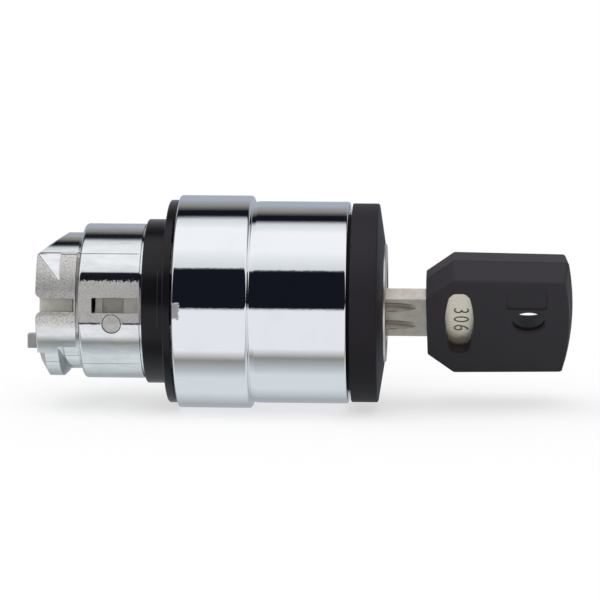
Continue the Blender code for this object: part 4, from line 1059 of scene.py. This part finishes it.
def bow_levels(sizes):
    """Inset and height of every loop from one face over the parting line to the other."""
    half = sizes.bow_thickness / 2
    draft = 1.35
    deep = draft + 3.0
    corners = [(deep, 0.0), (0.0, 0.0), (draft, half, sizes.face_edge), (deep, half)]
    slope = [(inset, y) for inset, y in filleted(corners, chords=6)[2:-1]]
    ridge = 0.03
    rise = slope[0]
    share = ridge / rise[1]
    foot = (rise[0] * share + 0.025, ridge)
    upper = [foot] + slope
    lower = [(inset, -y) for inset, y in reversed(upper)]
    return lower + [(0.0, -0.4 * ridge), (0.0, 0.4 * ridge)] + upper


class SWITCH_OT_bow(bpy.types.Operator):
    """Builds the key's moulded bow with its number window, bare field and ring hole."""

    bl_idname = "switch.bow"
    bl_label = "Key bow"

    def execute(self, context):
        sizes = measured(context.scene.switch_key)
        stand = about_x(math.degrees(sizes.turn))
        loops = [bow_loop(sizes, inset, y) for inset, y in bow_levels(sizes)]
        bow = solid("bow", laid(lofted(loops), stand), FINISHES["bow_black"])
        carved(bow, [solid("cut", laid(bm, stand)) for bm in bow_cutters(sizes)])
        shaded(bow, math.radians(30.0))
        leaned(bow)
        seated(bow, "key", "key_bow")
        return {"FINISHED"}


def window_outline():
    """The number window about its middle: two bulged sides, with cut corners at both ends."""
    tall = 6.55
    wide = 1.95
    bulge = 0.75
    corner = 0.9
    tip = 0.75
    fillet = 0.7
    side_r = (tall ** 2 + bulge ** 2) / (2 * bulge)
    sweep = math.degrees(math.asin((tall - corner) / side_r))
    side = arc((wide - side_r, 0.0), side_r, -sweep, sweep, sweep / 10)
    half = [(*side[0], fillet)] + side[1:-1]
    half += [(*side[-1], fillet), (tip, tall, fillet), (-tip, tall, fillet)]
    return filleted(half + [(-a, -b, *rest) for a, b, *rest in half], chords=4)


def bow_cutters(sizes):
    """Room for the blade's plate, the number window, the shallow field and the ring hole."""
    half = sizes.bow_thickness / 2
    drop = sizes.drop
    pocket = sizes.blade_thickness / 2 + 0.3
    window_x = BOW_REAR + 4.5
    window_z = drop + 0.93
    plate_rear = window_x - 2.4
    plate_front = window_x + 4.15
    plate = 8.5
    throat = sizes.blade_height / 2 + 0.3
    room = [
        (BOW_REAR - 1.0, drop - throat), (plate_rear, drop - throat), (plate_rear, drop - plate),
        (plate_front, drop - plate), (plate_front, drop + plate), (plate_rear, drop + plate),
        (plate_rear, drop + throat), (BOW_REAR - 1.0, drop + throat)]
    outline = [(window_x + a, window_z + b) for a, b in window_outline()]
    window = prism(outline, -half - 1.0, -pocket + 0.3)
    field = rectangle((BOW_FRONT - 6.3, drop + 6.55), (2.75, 2.45), 0.45, 1.6, chords=8)
    shallow = prism(field, -half - 1.0, -half + 0.18)
    stations = [
        (-half - 0.3, HOLE_R + 0.7), (-half, HOLE_R + 0.34), (-half + 0.06, HOLE_R + 0.21),
        (-half + 0.16, HOLE_R + 0.1), (-half + 0.3, HOLE_R + 0.03), (-half + 0.5, HOLE_R),
        (-half + 1.0, HOLE_R), (half + 0.2, 5.02)]
    hole = revolved(stations, (HOLE_X, HOLE_Z), 5.0)
    return [prism(room, -pocket, pocket), window, shallow, hole]


class SWITCH_OT_blade(bpy.types.Operator):
    """Builds the key's metal blade with its cuts, round grooves and numbered plate."""

    bl_idname = "switch.blade"
    bl_label = "Key blade"

    def execute(self, context):
        sizes = measured(context.scene.switch_key)
        stand = about_x(math.degrees(sizes.turn))
        half_thick = sizes.blade_thickness / 2
        tip, end = reach("key_blade")[:2]
        plan = prism(blade_outline(sizes, tip, end), -half_thick, half_thick)
        blade = solid("blade", plan, FINISHES["key_nickel"])
        stop = BOW_REAR - 1.35
        tools = []
        for side in (-1.0, 1.0):
            for height in (2.3, -1.6):
                tools.append(solid("cut", groove(sizes.drop + height, side * half_thick, side, tip, stop)))
        carved(blade, tools + [stamped_number(sizes, half_thick)])
        blade.data.transform(stand)
        shaded(blade, math.radians(20.0))
        leaned(blade)
        seated(blade, "key", "key_blade")
        return {"FINISHED"}


def blade_outline(sizes, tip, end):
    """The blade seen flat on: pointed tip, five cuts, straight shank and wide plate."""
    half = sizes.blade_height / 2
    drop = sizes.drop
    plate_rear = end - 5.95
    plate = 8.2
    point = 0.4
    slant = 2.2
    pitch = 3.2
    floor = 0.35
    corners = [(tip, drop - point, 0.15), (tip, drop + point, 0.15), (tip + slant, drop + half)]
    for index, depth in enumerate((1.2, 0.6, 1.5, 0.9, 0.4)):
        x = tip + 4.0 + index * pitch
        run = min(0.9 * depth, pitch / 2 - floor - 0.05)
        corners += [
            (x - floor - run, drop + half, 0.04), (x - floor, drop + half - depth, 0.1),
            (x + floor, drop + half - depth, 0.1), (x + floor + run, drop + half, 0.04)]
    corners += [
        (plate_rear, drop + half, 0.3), (plate_rear, drop + plate, 0.3), (end, drop + plate, 0.3),
        (end, drop - plate, 0.3), (plate_rear, drop - plate, 0.3), (plate_rear, drop - half, 0.3),
        (tip + slant, drop - half)]
    return filleted(corners, 20.0)


def groove(z, face, side, tip, stop):
    """A round-bottomed milled groove that runs out to a point where the cutter leaves the face."""
    deep = 0.5
    wide = 1.0
    round_r = (wide ** 2 + deep ** 2) / (2 * deep)
    cutter_r = 14.0
    lift = math.degrees(math.acos(1.0 - (deep + 0.15) / cutter_r))
    path = [(tip - 1.0, deep)]
    run = math.sqrt(cutter_r ** 2 - (cutter_r - deep) ** 2)
    for step in range(15):
        turn = math.radians(lift * step / 14)
        path.append((stop - run + cutter_r * math.sin(turn), deep - cutter_r * (1.0 - math.cos(turn))))
    loops = []
    for x, depth in path:
        centre = face - side * depth + side * round_r
        loops.append([(x, a, b) for a, b in circle((centre, z), round_r, 10.0)])
    return lofted(loops)


def stamped_number(sizes, half_thick):
    """A plain number, pressed into the plate behind the window."""
    words = bpy.data.curves.new("number", "FONT")
    words.body = "306"
    words.size = 3.0
    words.align_x = "CENTER"
    words.align_y = "CENTER"
    words.extrude = 0.12
    words.space_character = 1.25
    text = placed("number", words)
    mesh = evaluated_mesh(text)
    bpy.data.objects.remove(text)
    bpy.data.curves.remove(words)
    place = Matrix.Translation((BOW_REAR + 4.65, -half_thick, sizes.drop - 0.2))
    upright = Matrix.Rotation(math.radians(90.0), 4, "X") @ Matrix.Rotation(math.radians(-90.0), 4, "Z")
    bm = bmesh.new()
    bm.from_mesh(mesh)
    bpy.data.meshes.remove(mesh)
    bmesh.ops.remove_doubles(bm, verts=bm.verts, dist=0.001)
    return solid("number", laid(bm, place @ upright))


class SWITCH_OT_guide(bpy.types.Operator):
    """Builds the white plate that guides the plungers; its skirt shows in the notch."""

    bl_idname = "switch.guide"
    bl_label = "Plunger guide"

    def execute(self, context):
        rear, solid_front, outer = reach("pusher_guide")
        skirt = solid_front + 0.22
        seat = rear + 1.35
        front = rear + 1.75
        plate = outer - 0.8
        wall = 0.4
        edge = 0.08
        stations = [
            (rear, plate - edge), (rear + edge, plate), (seat, plate),
            (seat, outer - edge), (seat + edge, outer), (skirt - edge, outer),
            (skirt, outer - edge), (skirt, outer - wall), (front, outer - wall)]
        loops = [[(x, y, z) for y, z in circle((0.0, 0.0), r, 2.5)] for x, r in stations]
        guide = solid("guide", lofted(loops), FINISHES["cam_white"])
        slots = []
        for z in (-5.6, 5.6):
            slot = rectangle((0.0, z), (1.4, 1.225))
            slots.append(solid("slot", prism(slot, rear - 1.0, front + 1.0, "X")))
        shaded(carved(guide, slots))
        seated(guide, "head", "pusher_guide")
        return {"FINISHED"}


class SWITCH_OT_spring(bpy.types.Operator):
    """Fits a rigid copy of the upper plunger's spring, which the turning key presses together."""

    bl_idname = "switch.spring"
    bl_label = "Plunger spring"

    def execute(self, context):
        node = "pusher_spring_high"
        mesh = frame["nodes"][node].data.copy()
        mesh.transform(frame["nodes"][node].matrix_world)
        spring = shaded(placed("spring_high", mesh))
        seated(spring, "head", node)
        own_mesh(spring)
        return {"FINISHED"}


class SWITCH_OT_lock(bpy.types.Operator):
    """Builds the lock's front tube round the plug."""

    bl_idname = "switch.lock"
    bl_label = "Lock"

    def execute(self, context):
        bore = 7.4
        tube = 8.1
        shoulder = 9.9
        place = 18.4
        corners = [
            (STATOR_REAR, bore), (STATOR_REAR, tube, 0.1), (place, tube),
            (place, shoulder, 0.1), (place + 1.2, shoulder, 0.1), (place + 1.2, tube, 0.1),
            (STATOR_FRONT, tube, 0.22), (STATOR_FRONT, bore, 0.15)]
        head_ring("lock_tube", corners, "lock_stator", "lock_nickel", 128)
        return {"FINISHED"}


class SWITCH_OT_stage(bpy.types.Operator):
    """Sets the camera, the floor and the light."""

    bl_idname = "switch.stage"
    bl_label = "Stage"

    def execute(self, context):
        settings = context.scene.switch_stage
        set_camera(settings)
        set_floor(settings)
        set_light()
        context.scene.view_settings.view_transform = "Standard"
        return {"FINISHED"}


def set_camera(settings):
    """A long lens that looks at the middle of the head and key."""
    target = MM * Vector((17.7, 0.0, 0.3))
    side, rise = settings.azimuth, settings.elevation
    back = Vector((math.sin(side) * math.cos(rise), -math.cos(side) * math.cos(rise), math.sin(rise)))
    data = bpy.data.cameras.new("camera")
    data.lens = settings.lens
    data.sensor_width = 36.0
    data.clip_start = 0.01
    data.clip_end = 50.0
    camera = placed("camera", data)
    camera.rotation_mode = "QUATERNION"
    camera.location = target + back * settings.distance
    tilt = Matrix.Rotation(settings.roll, 4, "Z").to_quaternion()
    camera.rotation_quaternion = (-back).to_track_quat("-Z", "Y") @ tilt
    bpy.context.scene.camera = camera


def set_floor(settings):
    """A wide pale floor that touches the lowest point of the bezel."""
    half = 6000.0
    bm = bmesh.new()
    level = CAD_BOX[0][2] / MM - 0.02
    corners = [(-half, -half), (half, -half), (half, half), (-half, half)]
    bm.faces.new([bm.verts.new((x, y, level)) for x, y in corners])
    look = Finish("floor")
    grey = [0.5 * tone for tone in settings.floor_colour]
    pale = look.node("ShaderNodeBsdfDiffuse", None, {"Color": (*grey, 1.0)})
    camera_ray = look.node("ShaderNodeLightPath", output="Is Camera Ray")
    glow = look.node("ShaderNodeEmission", None, {"Color": WHITE, "Strength": FLOOR_GLOW * camera_ray})
    lit = look.node("ShaderNodeAddShader", None, {0: pale, 1: glow})
    look.node("ShaderNodeOutputMaterial", None, {"Surface": lit})
    floor = solid("floor", bm, look.material)
    floor.visible_glossy = False


def set_light():
    """Soft light from all sides, a wide sun from above, and the studio's cards for gloss."""
    world = bpy.data.worlds.new("studio")
    bpy.context.scene.world = world
    world.use_nodes = True
    plan = Plan(world.node_tree)
    _, y, z = plan.split(plan.node("ShaderNodeTexCoord", output="Generated"))
    round_x = z.angle(0.0 - y) / math.tau + 0.5
    stops = [(degrees / 360.0 + 0.5, tone) for degrees, tone in STUDIO_ROUND]
    cards = plan.node("ShaderNodeValToRGB", {"stops": stops}, {0: round_x})
    glossy_ray = plan.node("ShaderNodeLightPath", output="Is Glossy Ray")
    camera_ray = plan.node("ShaderNodeLightPath", output="Is Camera Ray")
    gloss = plan.node("ShaderNodeBackground", None, {"Color": cards, "Strength": 1.0})
    soft = plan.node("ShaderNodeBackground", None, {"Color": WHITE, "Strength": SOFT_LIGHT})
    white = plan.node("ShaderNodeBackground", None, {"Color": WHITE, "Strength": 1.0})
    lit = plan.node("ShaderNodeMixShader", None, {0: glossy_ray, 1: soft, 2: gloss})
    seen = plan.node("ShaderNodeMixShader", None, {0: camera_ray, 1: lit, 2: white})
    plan.node("ShaderNodeOutputWorld", None, {"Surface": seen})

    data = bpy.data.lights.new("overhead", "SUN")
    data.energy = SUN_STRENGTH
    data.angle = SUN_WIDTH
    lamp = placed("overhead", data)
    lamp.rotation_euler = SUN_TURN
    lamp.visible_glossy = False


class SWITCH_PT_sidebar(bpy.types.Panel):
    """Lists the pieces and their sizes."""

    bl_idname = "SWITCH_PT_sidebar"
    bl_label = "Key switch head"
    bl_space_type = "VIEW_3D"
    bl_region_type = "UI"
    bl_category = "Switch"

    def draw(self, context):
        layout = self.layout
        scene = context.scene
        for group in [getattr(scene, name) for name in GROUPS]:
            for name in group.__annotations__:
                layout.prop(group, name)
        for step in STEPS:
            layout.operator(step.bl_idname)


STEPS = (
    SWITCH_OT_finishes,
    SWITCH_OT_bezel,
    SWITCH_OT_gasket,
    SWITCH_OT_cap,
    SWITCH_OT_casting,
    SWITCH_OT_pin,
    SWITCH_OT_guide,
    SWITCH_OT_spring,
    SWITCH_OT_lock,
    SWITCH_OT_blade,
    SWITCH_OT_bow,
    SWITCH_OT_stage,
)
GROUPS = {
    "switch_bezel": BezelSizes,
    "switch_casting": CastingSizes,
    "switch_key": KeySizes,
    "switch_stage": StageSettings,
}
CLASSES = (*GROUPS.values(), *STEPS, SWITCH_PT_sidebar)


def register():
    for kind in CLASSES:
        bpy.utils.register_class(kind)
    for name, group in GROUPS.items():
        setattr(bpy.types.Scene, name, PointerProperty(type=group))


def unregister():
    for name in GROUPS:
        delattr(bpy.types.Scene, name)
    for kind in reversed(CLASSES):
        bpy.utils.unregister_class(kind)


def main():
    """Builds every piece and the stage."""
    register()
    for step in STEPS:
        family, name = step.bl_idname.split(".")
        getattr(getattr(bpy.ops, family), name)()


if __name__ == "__main__":
    main()
